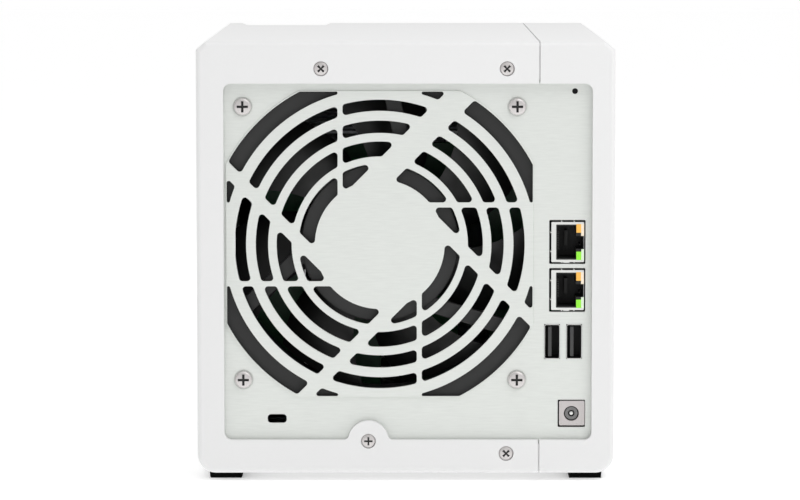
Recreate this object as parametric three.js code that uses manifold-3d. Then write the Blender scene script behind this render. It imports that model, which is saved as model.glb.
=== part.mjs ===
// A desktop storage enclosure for four 3.5-inch drives, built as an assembly.
// Units are millimetres. +Z is up, the drive bays open towards -Y, the fan and the ports
// face +Y, and the origin is on the floor under the middle of the case.

import * as THREE from 'three';
import { mergeVertices } from 'three/addons/utils/BufferGeometryUtils.js';
import Module from 'manifold-3d';

const wasm = await Module();
wasm.setup();

// ---------------------------------------------------------------- driving dimensions

const WIDTH = 160;
const HEIGHT = 169;
const DEPTH = 219;
const FOOT_HEIGHT = 3.2;
const GAP = 0.3;                    // air between pieces that touch on the real object
const LOOSE = 0.4;                  // air around a screw shank or a button in its hole
const PAST = 1;                     // how far a cutter runs past the face it opens

const REAR = DEPTH / 2;
const FRONT = -DEPTH / 2;
const LEFT = -WIDTH / 2;
const RIGHT = WIDTH / 2;

const COVER = {
  wall: 2,
  frontEnd: FRONT + 9.5,
  bevelWidth: 3.7,                  // of the slanted strip along each upper edge
  bevelHeight: 3.1,
  bottomRadius: 7,
  rearFillet: 2,
  flangeThickness: 3,
  seamX: -51.1,
  seamWidth: 0.8,
  lipWidth: 3,
  lipThickness: 1.7,
};

const WINDOW = { left: -71.4, right: 69.6, bottom: 16, top: 153, radius: 3 };
const TAB = { x: 14.3, z: 15.6, radius: 7.8 };

const PLATE = {
  rear: REAR - COVER.flangeThickness - GAP,
  thickness: 1.2,
  margin: 1.5,
  radius: 4,
  emboss: 0.8,
};

const FAN = {
  x: 9.8,
  z: 91.6,
  size: 120,
  depth: 25,
  standOff: 1.1,                    // between the flange and the flat of the plate
  screwPitch: 105,
  boreRadius: 57.5,
  tubeRadius: 59.8,
  flangeThickness: 4,
  mountRadius: 30.2,
  mountThickness: 4,
  strutWidth: 6,
  strutAngles: [236, 116, -4],      // degrees, where the struts leave the motor mount
  strutLean: 22,                    // degrees that a strut's outer end is turned by
  bearingRadius: 5,
  bearingDepth: 12,
  shaftRadius: 1.6,
  hubRadius: 28.5,
  hubWall: 1.8,
  hubSetBack: 2,
  runningGap: 1.2,
  bladeCount: 7,
  bladeRadius: 56.3,
  bladeThickness: 1.8,
  bladeDepth: 14.8,
  bladeSweep: 14,                   // degrees from root to tip
  bladeHalfSpan: 19,                // degrees either side of a blade's middle, at its root
  bladeTaper: 1.5,                  // degrees less at its tip
};

const GRILLE = {
  x: 9.9,
  z: 91.3,
  zoneRadius: 66.3,
  zoneHalfSquare: 58.7,
  slotMargin: 0.4,
  rings: [
    { inner: 25.0, outer: 30.9 },
    { inner: 33.95, outer: 39.35 },
    { inner: 42.9, outer: 47.35 },
    { inner: 51.35, outer: 55.25 },
    { inner: 59.9, outer: 65.9 },
  ],
  segments: 48,
  uprightSpokes: { farEdge: 16.2, widths: [2.1, 2.1, 2.1, 2.1], firstAngle: 0 },
  slantedSpokes: { farEdge: 23.4, widths: [5, 10, 5, 5], firstAngle: Math.PI / 4 },
};

const COVER_SCREW = { headRadius: 2.8, headHeight: 1.2, shankRadius: 1.4, length: 6.3, slot: 4.2 };
const FAN_SCREW = { headRadius: 3.5, headHeight: 1.6, shankRadius: 1.9, length: 8.5, slot: 4.4 };
const SLOT_WIDTH = 0.9;
const SLOT_DEPTH = 0.7;
const SCREW_SINK = 0.2;             // cover screws sit this far below the rear face
const TOP_SCREW_Z = 158.65;
const COVER_SCREWS = [
  { x: 32.3, z: TOP_SCREW_Z },
  { x: -38.7, z: TOP_SCREW_Z },
  { x: -38.6, z: 10.85 },
];

const LAN = { x: -61.98, width: 13.4, height: 16.4, z: [92.18, 73.7], depth: 21.3, proud: 0.4 };
const LAN_CAVITY = { width: 9.2, height: 12.7, depth: 13, x: -62.5, notchWidth: 1.1, notchHeight: 5 };
const USB = {
  width: 5.6,
  height: 12.9,
  depth: 14.5,
  wall: 0.45,
  cavityDepth: 9.5,
  tongue: 1.8,
  tongueSide: 0.5,                  // from the shell's wall to the tongue
  tongueEnds: 0.65,
  tongueSetBack: 0.6,
};
const REAR_USB_X = [-56.25, -64.7];
const REAR_USB_Z = 53.8;
const POWER_JACK = {
  x: -63.75,
  z: 26,
  size: 9.8,
  depth: 12,
  hole: 2.9,
  holeDepth: 9,
  pin: 1,
  pinSetBack: 0.8,
};
const RESET = {
  x: -64.7,
  z: 150,
  hole: 1,
  plunger: 1.3,
  plungerOut: 3.4,
  plungerIn: 2.4,
  bore: 1.7,
  boreDepth: 3.5,
  body: 7,
  setBack: 4.5,
};
const LOCK_SLOT = { x: 49.4, z: 24, width: 7.3, height: 3.4, radius: 1.3 };

const BAY = { count: 4, pitch: 30.5, firstX: -31.75 };
const SHEET = 1;
const SIDE_ROOM = 1.6;              // beside the outer bays, up to the outside of the cage
const AIR_SLOT = { count: 4, width: 18, margin: 22 };
const CAGE = {
  left: BAY.firstX - BAY.pitch / 2 - SIDE_ROOM,
  right: BAY.firstX + (BAY.count - 0.5) * BAY.pitch + SIDE_ROOM,
  floor: 17,
  roof: 130.5,
  front: FRONT + 10,
  rear: 51.7,
  legInset: 12,                     // the legs stand clear of the feet's pegs
};

const TRAY = {
  faceWidth: 29.5,
  faceRadius: 1.5,
  faceBottom: 15.7,
  faceTop: 146.3,
  faceFront: FRONT + 0.2,
  faceThickness: 4.5,
  root: 0.5,                        // how far the rails run into the face
  bodyLeft: -14.2,
  bodyRight: 13.8,
  wall: 1.2,
  bottom: 18,
  top: 128,
  lowRail: 3.5,
  highRail: 4,
  rear: 40,
};

const LEVER = {
  halfWidth: 8,
  bottom: 27,
  top: 119,
  thickness: 2.8,
  axisBack: 1.2,                    // hinge axis behind the lever's own front face
  barrel: 1.2,
  pinRadius: 0.8,
  pinReach: 1.2,
  dishRadius: 30,
  dishDepth: 1.3,
  dishBelowTop: 14,
  dishMargin: 2,
};
const LATCH = {
  bottom: 122.4,
  top: 133.6,
  thickness: 2.6,
  radius: 1.2,
  grooves: 3,
  groovePitch: 2.6,
  grooveWidth: 1,
  grooveDepth: 0.5,
  grooveMargin: 2.5,
};
const POCKET = { depth: 3.8, clearance: 0.5 };
const VENT = { rows: 5, bottom: 30, pitch: 20, length: 15, x: 10.6, width: 1.8 };

const BEZEL = {
  rear: COVER.frontEnd - GAP,
  face: 2.5,
  wall: 2.5,
  fillet: 3,
  rim: 1.2,
  opening: { left: -47.2, right: 75.2, bottom: 15, top: 147, radius: 2 },
};

const COLUMN_X = -64;
const BUTTON = { setBack: 0.3, collar: 1.1, collarThickness: 1, stemGap: 1.5 };
const POWER_BUTTON = { z: 132, radius: 6 };
const COPY_BUTTON = { z: 64, radius: 4 };
const LENS = { z: [112, 103, 94], radius: 1.3, collar: 0.8, collarThickness: 1.2, setBack: 0.1 };
const FRONT_USB = { z: 42, setBack: 0.5 };
const FRONT_BOARD = { front: FRONT + 15.5, bottom: 28, top: 146, left: -76, right: -53 };

const BOARD_THICKNESS = 1.6;
const MAINBOARD = { x: -70.9, front: -45, rear: 103.5, bottom: 14, top: 157 };
const BACKPLANE = { front: 52, bottom: 20, top: 127, holeX: [-1, 11], holeZ: [30, 112] };
const SATA = {
  offsetX: -9,
  bottom: 34,
  width: 5.2,
  length: 42,
  depth: 8.5,
  keyWidth: 1.4,
  keyDepth: 3.5,
  keys: [[3, 24], [26, 39]],        // the power key and the data key, up from the lower end
};
const HEATSINK = { front: 20, rear: 62, bottom: 68, top: 110, base: 2.5, height: 12, fins: 8, fin: 1.6 };
const COIN_CELL = { y: 0, z: 40, radius: 10, thickness: 3.2 };

const NAMEPLATE = { left: 33, right: 71, depth: 1.1, slope: 2.2, length: 30 };
const FOOT = { inner: 63, outer: 75.8, draft: 0.2, length: 22, setBack: 9.6, pegRadius: 2.2, pegHeight: 3.8 };

// ---------------------------------------------------------------- materials

function finish(color, roughness, metalness) {
  return new THREE.MeshStandardMaterial({ color, roughness, metalness });
}

const MATERIALS = {
  cover: finish(0xeeeeee, 0.45, 0),
  bezel: finish(0xf0f0f0, 0.35, 0),
  plate: finish(0xd9dcd8, 0.4, 0.8),
  sheet: finish(0xb8babc, 0.4, 0.9),
  screw: finish(0xccc9c9, 0.3, 1),
  fan: finish(0x2b2b2b, 0.5, 0),
  rotor: finish(0x151515, 0.4, 0),
  rubber: finish(0x1e1e1e, 0.8, 0),
  board: finish(0x1f5a35, 0.5, 0),
  black: finish(0x18181a, 0.5, 0),
  shield: finish(0xdedfdc, 0.25, 1),
  jack: finish(0xc4c4c2, 0.5, 0),
  tray: finish(0xe4e4e4, 0.4, 0),
  lever: finish(0xf2f2f2, 0.35, 0),
  button: finish(0xe8e8e8, 0.3, 0),
  lens: finish(0xbfd9e6, 0.1, 0),
  aluminium: finish(0xb4b6b8, 0.35, 1),
  steel: finish(0xd0d0cc, 0.25, 1),
};

// ---------------------------------------------------------------- solids, joins and cuts

function solid(shape) {
  if (shape instanceof wasm.Manifold) {
    return shape;
  }
  const bare = shape.clone();
  bare.deleteAttribute('normal');
  bare.deleteAttribute('uv');
  const merged = mergeVertices(bare, 1e-4);
  return new wasm.Manifold(new wasm.Mesh({
    numProp: 3,
    vertProperties: new Float32Array(merged.attributes.position.array),
    triVerts: new Uint32Array(merged.index.array),
  }));
}

function join(first, ...others) {
  return others.flat().reduce((total, other) => total.add(solid(other)), solid(first));
}

function cut(first, ...others) {
  return others.flat().reduce((total, other) => total.subtract(solid(other)), solid(first));
}

function common(first, ...others) {
  return others.flat().reduce((total, other) => total.intersect(solid(other)), solid(first));
}

function toGeometry(shape) {
  const mesh = solid(shape).getMesh();
  const geometry = new THREE.BufferGeometry();
  geometry.setAttribute('position', new THREE.BufferAttribute(new Float32Array(mesh.vertProperties), 3));
  geometry.setIndex(new THREE.BufferAttribute(new Uint32Array(mesh.triVerts), 1));
  geometry.computeVertexNormals();
  return geometry;
}

function box(x0, x1, y0, y1, z0, z1) {
  const geometry = new THREE.BoxGeometry(x1 - x0, y1 - y0, z1 - z0);
  return geometry.translate((x0 + x1) / 2, (y0 + y1) / 2, (z0 + z1) / 2);
}

// A cylinder along Y between y0 and y1.
function barrel(radius, x, z, y0, y1, segments = 24) {
  return new THREE.CylinderGeometry(radius, radius, y1 - y0, segments).translate(x, (y0 + y1) / 2, z);
}

// A shape drawn with x across and z up, extruded along Y between y0 and y1.
function prism(shape, y0, y1, segments = 6) {
  const geometry = new THREE.ExtrudeGeometry(shape, {
    depth: y1 - y0,
    bevelEnabled: false,
    curveSegments: segments,
  });
  return geometry.rotateX(Math.PI / 2).translate(0, y1, 0);
}

// The same, with both end edges rounded by the given fillet.
function softPrism(shape, y0, y1, fillet, segments = 6) {
  const geometry = new THREE.ExtrudeGeometry(shape, {
    depth: y1 - y0 - 2 * fillet,
    bevelEnabled: true,
    bevelThickness: fillet,
    bevelSize: fillet,
    bevelOffset: -fillet,
    bevelSegments: 3,
    curveSegments: segments,
  });
  return geometry.rotateX(Math.PI / 2).translate(0, y1 - fillet, 0);
}

function roundedRectangle(x0, x1, z0, z1, radius) {
  const shape = new THREE.Shape();
  shape.absarc(x1 - radius, z0 + radius, radius, -Math.PI / 2, 0, false);
  shape.absarc(x1 - radius, z1 - radius, radius, 0, Math.PI / 2, false);
  shape.absarc(x0 + radius, z1 - radius, radius, Math.PI / 2, Math.PI, false);
  shape.absarc(x0 + radius, z0 + radius, radius, Math.PI, 1.5 * Math.PI, false);
  shape.closePath();
  return shape;
}

function polygon(...points) {
  return new THREE.Shape(points.map(([x, z]) => new THREE.Vector2(x, z)));
}

// The case's outline seen from the rear, pulled in by an inset: the lower corners are round
// and the upper ones are beveled.
function caseOutline(inset) {
  const { bevelWidth, bevelHeight, bottomRadius } = COVER;
  const reach = bevelWidth * bevelHeight + inset * Math.hypot(bevelWidth, bevelHeight);
  const across = (reach - bevelWidth * inset) / bevelHeight;
  const down = (reach - bevelHeight * inset) / bevelWidth;
  const radius = bottomRadius - inset;
  const centreX = RIGHT - bottomRadius;
  const centreZ = FOOT_HEIGHT + bottomRadius;
  const shape = new THREE.Shape();
  shape.absarc(centreX, centreZ, radius, -Math.PI / 2, 0, false);
  shape.lineTo(RIGHT - inset, HEIGHT - down);
  shape.lineTo(RIGHT - across, HEIGHT - inset);
  shape.lineTo(LEFT + across, HEIGHT - inset);
  shape.lineTo(LEFT + inset, HEIGHT - down);
  shape.absarc(-centreX, centreZ, radius, Math.PI, 1.5 * Math.PI, false);
  shape.closePath();
  return shape;
}

// ---------------------------------------------------------------- the assembly

const enclosure = new THREE.Group();

function addPiece(name, shape, material, x = 0, y = 0, z = 0) {
  const mesh = new THREE.Mesh(toGeometry(shape), material);
  mesh.name = name;
  mesh.position.set(x, y, z);
  enclosure.add(mesh);
}

// ---------------------------------------------------------------- covers and rear plate

function coverScrewHoles(y0) {
  const places = [...COVER_SCREWS, { x: TAB.x, z: TAB.z }];
  const boreRadius = COVER_SCREW.shankRadius + LOOSE;
  const seatRadius = COVER_SCREW.headRadius + GAP;
  const seatY = REAR - SCREW_SINK - COVER_SCREW.headHeight - GAP;
  return places.flatMap(({ x, z }) => [
    barrel(boreRadius, x, z, y0, REAR + PAST, 16),
    barrel(seatRadius, x, z, seatY, REAR + PAST),
  ]);
}

function nameplateRecess() {
  const { left, right, depth, slope, length } = NAMEPLATE;
  const outline = polygon(
    [left + slope, HEIGHT - depth], [right - slope, HEIGHT - depth],
    [right + slope, HEIGHT + depth], [left - slope, HEIGHT + depth],
  );
  return prism(outline, FRONT - PAST, FRONT + length);
}

function coverShell() {
  const flangeFront = REAR - COVER.flangeThickness;
  const outside = softPrism(caseOutline(0), FRONT, REAR, COVER.rearFillet);
  const inside = prism(caseOutline(COVER.wall), FRONT - PAST, flangeFront);
  const { left, right, bottom, top, radius } = WINDOW;
  const window = cut(
    prism(roundedRectangle(left, right, bottom, top, radius), flangeFront - PAST, REAR + PAST),
    barrel(TAB.radius, TAB.x, TAB.z, flangeFront - PAST, REAR + PAST, 32),
  );
  const kept = box(LEFT - PAST, RIGHT + PAST, COVER.frontEnd, REAR + PAST, 0, HEIGHT + PAST);
  const pegHoles = footPlaces().map(({ x, y }) => (
    new THREE.CylinderGeometry(FOOT.pegRadius + GAP, FOOT.pegRadius + GAP, 4 * COVER.wall, 16)
      .rotateX(Math.PI / 2)
      .translate(x, y, FOOT_HEIGHT + COVER.wall)
  ));
  const shell = cut(common(outside, kept), inside, window, coverScrewHoles(flangeFront - PAST));
  return cut(shell, nameplateRecess(), pegHoles);
}

// A strip under the seam that the other cover closes onto, fixed to the side cover.
function seamLip(wallZ, inwards) {
  const { seamX, seamWidth, lipWidth, lipThickness, frontEnd } = COVER;
  const edge = seamX - seamWidth / 2;
  const y0 = frontEnd + PAST;
  const y1 = PLATE.rear - PLATE.thickness - PAST;
  const far = wallZ + inwards * (GAP + lipThickness);
  const near = wallZ + inwards * GAP;
  const buried = wallZ - inwards * GAP;
  const reach = box(edge - lipWidth, edge + lipWidth, y0, y1, Math.min(near, far), Math.max(near, far));
  const root = box(edge - lipWidth, edge, y0, y1, Math.min(buried, far), Math.max(buried, far));
  return join(reach, root);
}

function addCovers() {
  const shell = coverShell();
  const halfSeam = COVER.seamWidth / 2;
  const far = 2 * DEPTH;
  const mainSide = box(COVER.seamX + halfSeam, far, -far, far, -far, far);
  const smallSide = box(-far, COVER.seamX - halfSeam, -far, far, -far, far);
  addPiece('main_cover', common(shell, mainSide), MATERIALS.cover);
  const sideCover = join(
    common(shell, smallSide),
    seamLip(HEIGHT - COVER.wall, -1),
    seamLip(FOOT_HEIGHT + COVER.wall, 1),
  );
  addPiece('side_cover', sideCover, MATERIALS.cover);
}

// Bars a quarter turn apart, each shifted to the right of its own direction.
function spokeBars({ farEdge, widths, firstAngle }, y0, y1) {
  return widths.map((width, quarter) => (
    box(0, FAN.size, y0, y1, -farEdge, width - farEdge)
      .rotateY(-(firstAngle + quarter * Math.PI / 2))
      .translate(GRILLE.x, 0, GRILLE.z)
  ));
}

function grilleZone(radius, halfSquare, y0, y1) {
  const square = box(
    GRILLE.x - halfSquare, GRILLE.x + halfSquare, y0, y1, GRILLE.z - halfSquare, GRILLE.z + halfSquare,
  );
  return common(barrel(radius, GRILLE.x, GRILLE.z, y0, y1, GRILLE.segments), square);
}

function grilleSlots(y0, y1) {
  const spokes = [
    ...spokeBars(GRILLE.uprightSpokes, y0 - PAST, y1 + PAST),
    ...spokeBars(GRILLE.slantedSpokes, y0 - PAST, y1 + PAST),
  ];
  const rings = GRILLE.rings.map(({ inner, outer }) => cut(
    barrel(outer, GRILLE.x, GRILLE.z, y0, y1, GRILLE.segments),
    barrel(inner, GRILLE.x, GRILLE.z, y0 - PAST, y1 + PAST, GRILLE.segments),
  ));
  const slots = cut(join(...rings), spokes);
  return common(slots, grilleZone(GRILLE.zoneRadius, GRILLE.zoneHalfSquare - GRILLE.slotMargin, y0, y1));
}

function portCutouts(y0, y1) {
  const around = (x, z, width, height) => (
    box(x - width / 2, x + width / 2, y0, y1, z - height / 2, z + height / 2)
  );
  const { x, z, width, height, radius } = LOCK_SLOT;
  const lockOutline = roundedRectangle(
    x - width / 2, x + width / 2, z - height / 2, z + height / 2, radius,
  );
  return [
    ...LAN.z.map((jackZ) => around(LAN.x, jackZ, LAN.width + 2 * GAP, LAN.height + 2 * GAP)),
    ...REAR_USB_X.map((portX) => around(portX, REAR_USB_Z, USB.width + 2 * GAP, USB.height + 2 * GAP)),
    around(POWER_JACK.x, POWER_JACK.z, POWER_JACK.size + 2 * GAP, POWER_JACK.size + 2 * GAP),
    barrel(RESET.hole, RESET.x, RESET.z, y0, y1, 12),
    prism(lockOutline, y0, y1, 3),
  ];
}

function addRearPlate() {
  const inset = COVER.wall + PLATE.margin;
  const front = PLATE.rear - PLATE.thickness;
  const flat = prism(
    roundedRectangle(LEFT + inset, RIGHT - inset, FOOT_HEIGHT + inset, HEIGHT - inset, PLATE.radius),
    front, PLATE.rear, 3,
  );
  const raised = grilleZone(
    GRILLE.zoneRadius, GRILLE.zoneHalfSquare, front + PLATE.emboss, PLATE.rear + PLATE.emboss,
  );
  const hollow = grilleZone(
    GRILLE.zoneRadius - PLATE.thickness, GRILLE.zoneHalfSquare - PLATE.thickness,
    front - PAST, front + PLATE.emboss,
  );
  const y0 = front - PAST;
  const y1 = PLATE.rear + PAST;
  const fanHoles = fanScrewPlaces().map(({ x, z }) => (
    barrel(FAN_SCREW.shankRadius + LOOSE, x, z, y0, y1, 16)
  ));
  const coverHoles = [...COVER_SCREWS, TAB].map(({ x, z }) => (
    barrel(COVER_SCREW.shankRadius + LOOSE, x, z, y0, y1, 16)
  ));
  const plate = cut(join(flat, raised), hollow, grilleSlots(y0, y1));
  addPiece('rear_plate', cut(plate, portCutouts(y0, y1), fanHoles, coverHoles), MATERIALS.plate);
}

// ---------------------------------------------------------------- screws and feet

function screw({ headRadius, headHeight, shankRadius, length, slot }, slotTurn) {
  const head = barrel(headRadius, 0, 0, 0, headHeight, 16);
  const shank = barrel(shankRadius, 0, 0, -length, headHeight / 2, 8);
  const slots = [0, Math.PI / 2].map((turn) => (
    box(-slot / 2, slot / 2, headHeight - SLOT_DEPTH, headHeight + PAST, -SLOT_WIDTH / 2, SLOT_WIDTH / 2)
      .rotateY(turn + slotTurn)
  ));
  return cut(join(head, shank), slots);
}

function fanScrewPlaces() {
  const half = FAN.screwPitch / 2;
  return [[-half, half], [half, half], [half, -half], [-half, -half]].map(([dx, dz]) => (
    { x: FAN.x + dx, z: FAN.z + dz }
  ));
}

function addScrews() {
  const coverHeadY = REAR - SCREW_SINK - COVER_SCREW.headHeight;
  COVER_SCREWS.forEach(({ x, z }, index) => {
    addPiece(`cover_screw_${index + 1}`, screw(COVER_SCREW, Math.PI / 4), MATERIALS.screw, x, coverHeadY, z);
  });
  addPiece('tab_screw', screw(COVER_SCREW, 0), MATERIALS.screw, TAB.x, coverHeadY, TAB.z);
  fanScrewPlaces().forEach(({ x, z }, index) => {
    addPiece(`fan_screw_${index + 1}`, screw(FAN_SCREW, 0), MATERIALS.screw, x, PLATE.rear + GAP, z);
  });
}

function footPlaces() {
  const x = (FOOT.inner + FOOT.outer) / 2;
  const y = REAR - FOOT.setBack - FOOT.length / 2;
  return [
    { name: 'foot_front_left', x: -x, y: -y },
    { name: 'foot_front_right', x, y: -y },
    { name: 'foot_rear_left', x: -x, y },
    { name: 'foot_rear_right', x, y },
  ];
}

function addFeet() {
  const halfWidth = (FOOT.outer - FOOT.inner) / 2;
  const top = FOOT_HEIGHT - GAP;
  const outline = polygon(
    [-halfWidth + FOOT.draft, 0], [halfWidth - FOOT.draft, 0], [halfWidth, top], [-halfWidth, top],
  );
  const peg = new THREE.CylinderGeometry(FOOT.pegRadius, FOOT.pegRadius, FOOT.pegHeight + PAST, 16)
    .rotateX(Math.PI / 2)
    .translate(0, 0, top + (FOOT.pegHeight - PAST) / 2);
  const foot = join(prism(outline, -FOOT.length / 2, FOOT.length / 2), peg);
  footPlaces().forEach(({ name, x, y }) => addPiece(name, foot, MATERIALS.rubber, x, y));
}

// ---------------------------------------------------------------- fan

const FAN_REAR = PLATE.rear - PLATE.thickness - FAN.standOff;
const FAN_FRONT = FAN_REAR - FAN.depth;

function fanFlange(y0, y1) {
  const half = FAN.size / 2;
  return prism(
    roundedRectangle(FAN.x - half, FAN.x + half, FAN.z - half, FAN.z + half, PLATE.radius), y0, y1, 3,
  );
}

// Struts lean like the vanes of a stator: the outer end is turned against the inner end.
function fanStruts() {
  const innerRadius = FAN.mountRadius - 3;
  const outerRadius = FAN.boreRadius + 1.2;
  const lean = THREE.MathUtils.degToRad(FAN.strutLean);
  const halfWidth = FAN.strutWidth / 2;
  return FAN.strutAngles.map((degrees) => {
    const angle = THREE.MathUtils.degToRad(degrees);
    const inner = new THREE.Vector2(Math.cos(angle), Math.sin(angle)).multiplyScalar(innerRadius);
    const outer = new THREE.Vector2(Math.cos(angle - lean), Math.sin(angle - lean));
    outer.multiplyScalar(outerRadius);
    const side = outer.clone().sub(inner).normalize().rotateAround(new THREE.Vector2(), Math.PI / 2);
    side.multiplyScalar(halfWidth);
    const outline = new THREE.Shape([
      inner.clone().sub(side), outer.clone().sub(side), outer.clone().add(side), inner.clone().add(side),
    ]);
    return prism(outline, FAN_REAR - FAN.mountThickness, FAN_REAR).translate(FAN.x, 0, FAN.z);
  });
}

function addFanFrame() {
  const { x, z, boreRadius, tubeRadius, flangeThickness, mountRadius, mountThickness } = FAN;
  const housing = join(
    fanFlange(FAN_FRONT, FAN_FRONT + flangeThickness),
    fanFlange(FAN_REAR - flangeThickness, FAN_REAR),
    barrel(tubeRadius, x, z, FAN_FRONT + PAST, FAN_REAR - PAST, 48),
  );
  const hollow = barrel(boreRadius, x, z, FAN_FRONT - PAST, FAN_REAR + PAST, 48);
  const mountFront = FAN_REAR - mountThickness;
  const mount = join(
    barrel(mountRadius, x, z, mountFront, FAN_REAR, 36),
    barrel(FAN.bearingRadius, x, z, mountFront - FAN.bearingDepth, mountFront + PAST),
    ...fanStruts(),
  );
  const bearingHole = barrel(
    FAN.shaftRadius + GAP, x, z, mountFront - FAN.bearingDepth - PAST, mountFront + PAST, 16,
  );
  const screwHoles = fanScrewPlaces().map((place) => (
    barrel(FAN_SCREW.shankRadius + LOOSE, place.x, place.z, FAN_FRONT - PAST, FAN_REAR + PAST, 16)
  ));
  const frame = join(cut(housing, hollow), mount);
  addPiece('fan_frame', cut(frame, bearingHole, screwHoles), MATERIALS.fan);
}

// One blade: a curved slab, twisted from a steep root to a flatter tip.
function fanBlade(depth) {
  const rootRadius = FAN.hubRadius - 1;
  const steps = 4;
  const sweep = THREE.MathUtils.degToRad(FAN.bladeSweep);
  const half = FAN.bladeThickness / 2;
  const positions = [];
  for (let step = 0; step <= steps; step += 1) {
    const part = step / steps;
    const radius = rootRadius + (FAN.bladeRadius - rootRadius) * part;
    const halfSpan = THREE.MathUtils.degToRad(FAN.bladeHalfSpan - FAN.bladeTaper * part);
    const middle = sweep * part;
    const corners = [
      [middle - halfSpan, -depth / 2 - half], [middle - halfSpan, -depth / 2 + half],
      [middle + halfSpan, depth / 2 + half], [middle + halfSpan, depth / 2 - half],
    ];
    corners.forEach(([angle, y]) => positions.push(radius * Math.cos(angle), y, radius * Math.sin(angle)));
  }
  const index = [0, 2, 1, 0, 3, 2];
  for (let step = 0; step < steps; step += 1) {
    for (let corner = 0; corner < 4; corner += 1) {
      const a = step * 4 + corner;
      const b = step * 4 + (corner + 1) % 4;
      index.push(a, b + 4, a + 4, a, b, b + 4);
    }
  }
  const last = steps * 4;
  index.push(last, last + 1, last + 2, last, last + 2, last + 3);
  return { positions, index };
}

function bladeSolid(depth) {
  const { positions, index } = fanBlade(depth);
  return new wasm.Manifold(new wasm.Mesh({
    numProp: 3,
    vertProperties: new Float32Array(positions),
    triVerts: new Uint32Array(index),
  }));
}

function addFanRotor() {
  const mountFront = FAN_REAR - FAN.mountThickness;
  const hubRear = mountFront - FAN.runningGap;
  const hubFront = FAN_FRONT + FAN.hubSetBack;
  const middle = (hubRear + hubFront) / 2;
  const hub = barrel(FAN.hubRadius, 0, 0, hubFront, hubRear, 40);
  const cavity = barrel(FAN.hubRadius - FAN.hubWall, 0, 0, hubFront + FAN.hubWall, hubRear + PAST, 40);
  const shaft = barrel(FAN.shaftRadius, 0, 0, hubFront + PAST, mountFront, 16);
  const blade = bladeSolid(FAN.bladeDepth);
  const blades = Array.from({ length: FAN.bladeCount }, (_, number) => (
    blade.translate(0, middle, 0).rotate(0, number * 360 / FAN.bladeCount, 0)
  ));
  const rotor = join(cut(join(hub, blades), cavity), shaft);
  addPiece('fan_rotor', rotor, MATERIALS.rotor, FAN.x, 0, FAN.z);
}

// ---------------------------------------------------------------- drive cage

function bayCentre(bay) {
  return BAY.firstX + bay * BAY.pitch;
}

// The lower Y of each upright air slot, spread evenly along a wall from y0 to y1.
function airSlotPlaces(y0, y1) {
  const pitch = (y1 - y0) / AIR_SLOT.count;
  return Array.from({ length: AIR_SLOT.count }, (_, number) => (
    y0 + (number + 0.5) * pitch - AIR_SLOT.width / 2
  ));
}

function addCage() {
  const { left, right, floor, roof, front, rear, legInset } = CAGE;
  const legBottom = FOOT_HEIGHT + COVER.wall + GAP;
  const legs = [left + legInset, right - legInset].map((x) => (
    box(x, x + SHEET, front, rear, legBottom, floor - SHEET / 2)
  ));
  const walls = [left, right - SHEET].map((x) => box(x, x + SHEET, front, rear, floor - SHEET, roof - GAP));
  const base = box(left, right, front, rear, floor - SHEET, floor);
  const sideWindows = airSlotPlaces(front, rear).map((y) => (
    box(left - PAST, right + PAST, y, y + AIR_SLOT.width, floor + AIR_SLOT.margin, roof - AIR_SLOT.margin)
  ));
  addPiece('cage_shell', cut(join(base, walls, legs), sideWindows), MATERIALS.sheet);

  const roofPlate = box(left, right, front, rear, roof, roof + SHEET);
  const roofSlots = airSlotPlaces(front, rear).map((y) => (
    box(
      left + AIR_SLOT.margin, right - AIR_SLOT.margin, y, y + AIR_SLOT.width,
      roof - PAST, roof + SHEET + PAST,
    )
  ));
  addPiece('cage_roof', cut(roofPlate, roofSlots), MATERIALS.sheet);

  const divider = cut(
    box(-SHEET / 2, SHEET / 2, front, rear - GAP, floor + GAP, roof - GAP),
    airSlotPlaces(front, rear).map((y) => (
      box(-SHEET, SHEET, y, y + AIR_SLOT.width, floor + AIR_SLOT.margin, roof - AIR_SLOT.margin)
    )),
  );
  for (let number = 1; number < BAY.count; number += 1) {
    addPiece(`bay_divider_${number}`, divider, MATERIALS.sheet, bayCentre(number) - BAY.pitch / 2);
  }
}

// ---------------------------------------------------------------- trays, levers and latches

const POCKET_FLOOR = TRAY.faceFront + POCKET.depth;
const LEVER_SET_BACK = 0.2;
const LEVER_FRONT = TRAY.faceFront + LEVER_SET_BACK;
const LEVER_AXIS = { y: LEVER_FRONT + LEVER.axisBack, z: LEVER.bottom + LEVER.barrel };

function trayFace() {
  const { faceWidth, faceBottom, faceTop, faceFront, faceThickness, faceRadius } = TRAY;
  const half = faceWidth / 2;
  const faceRear = faceFront + faceThickness;
  const outline = roundedRectangle(-half, half, faceBottom, faceTop, faceRadius);
  const face = prism(outline, faceFront, faceRear, 2);
  const reach = LEVER.halfWidth + POCKET.clearance;
  const { bottom, top } = LEVER;
  const leverPocket = box(
    -reach, reach, faceFront - PAST, POCKET_FLOOR, bottom - POCKET.clearance, top + POCKET.clearance,
  );
  const latchPocket = box(
    -reach, reach, faceFront - PAST, POCKET_FLOOR,
    LATCH.bottom - POCKET.clearance, LATCH.top + POCKET.clearance,
  );
  const pinHoleLength = 2 * (LEVER.halfWidth + LEVER.pinReach + PAST);
  const pinHole = new THREE.CylinderGeometry(LEVER.pinRadius + GAP, LEVER.pinRadius + GAP, pinHoleLength, 12)
    .rotateZ(Math.PI / 2)
    .translate(0, LEVER_AXIS.y, LEVER_AXIS.z);
  const vents = [];
  for (let row = 0; row < VENT.rows; row += 1) {
    const z = VENT.bottom + row * VENT.pitch;
    [-VENT.x - VENT.width, VENT.x].forEach((x) => {
      vents.push(box(x, x + VENT.width, faceFront - PAST, faceRear + PAST, z, z + VENT.length));
    });
  }
  return cut(face, leverPocket, latchPocket, pinHole, vents);
}

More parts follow.
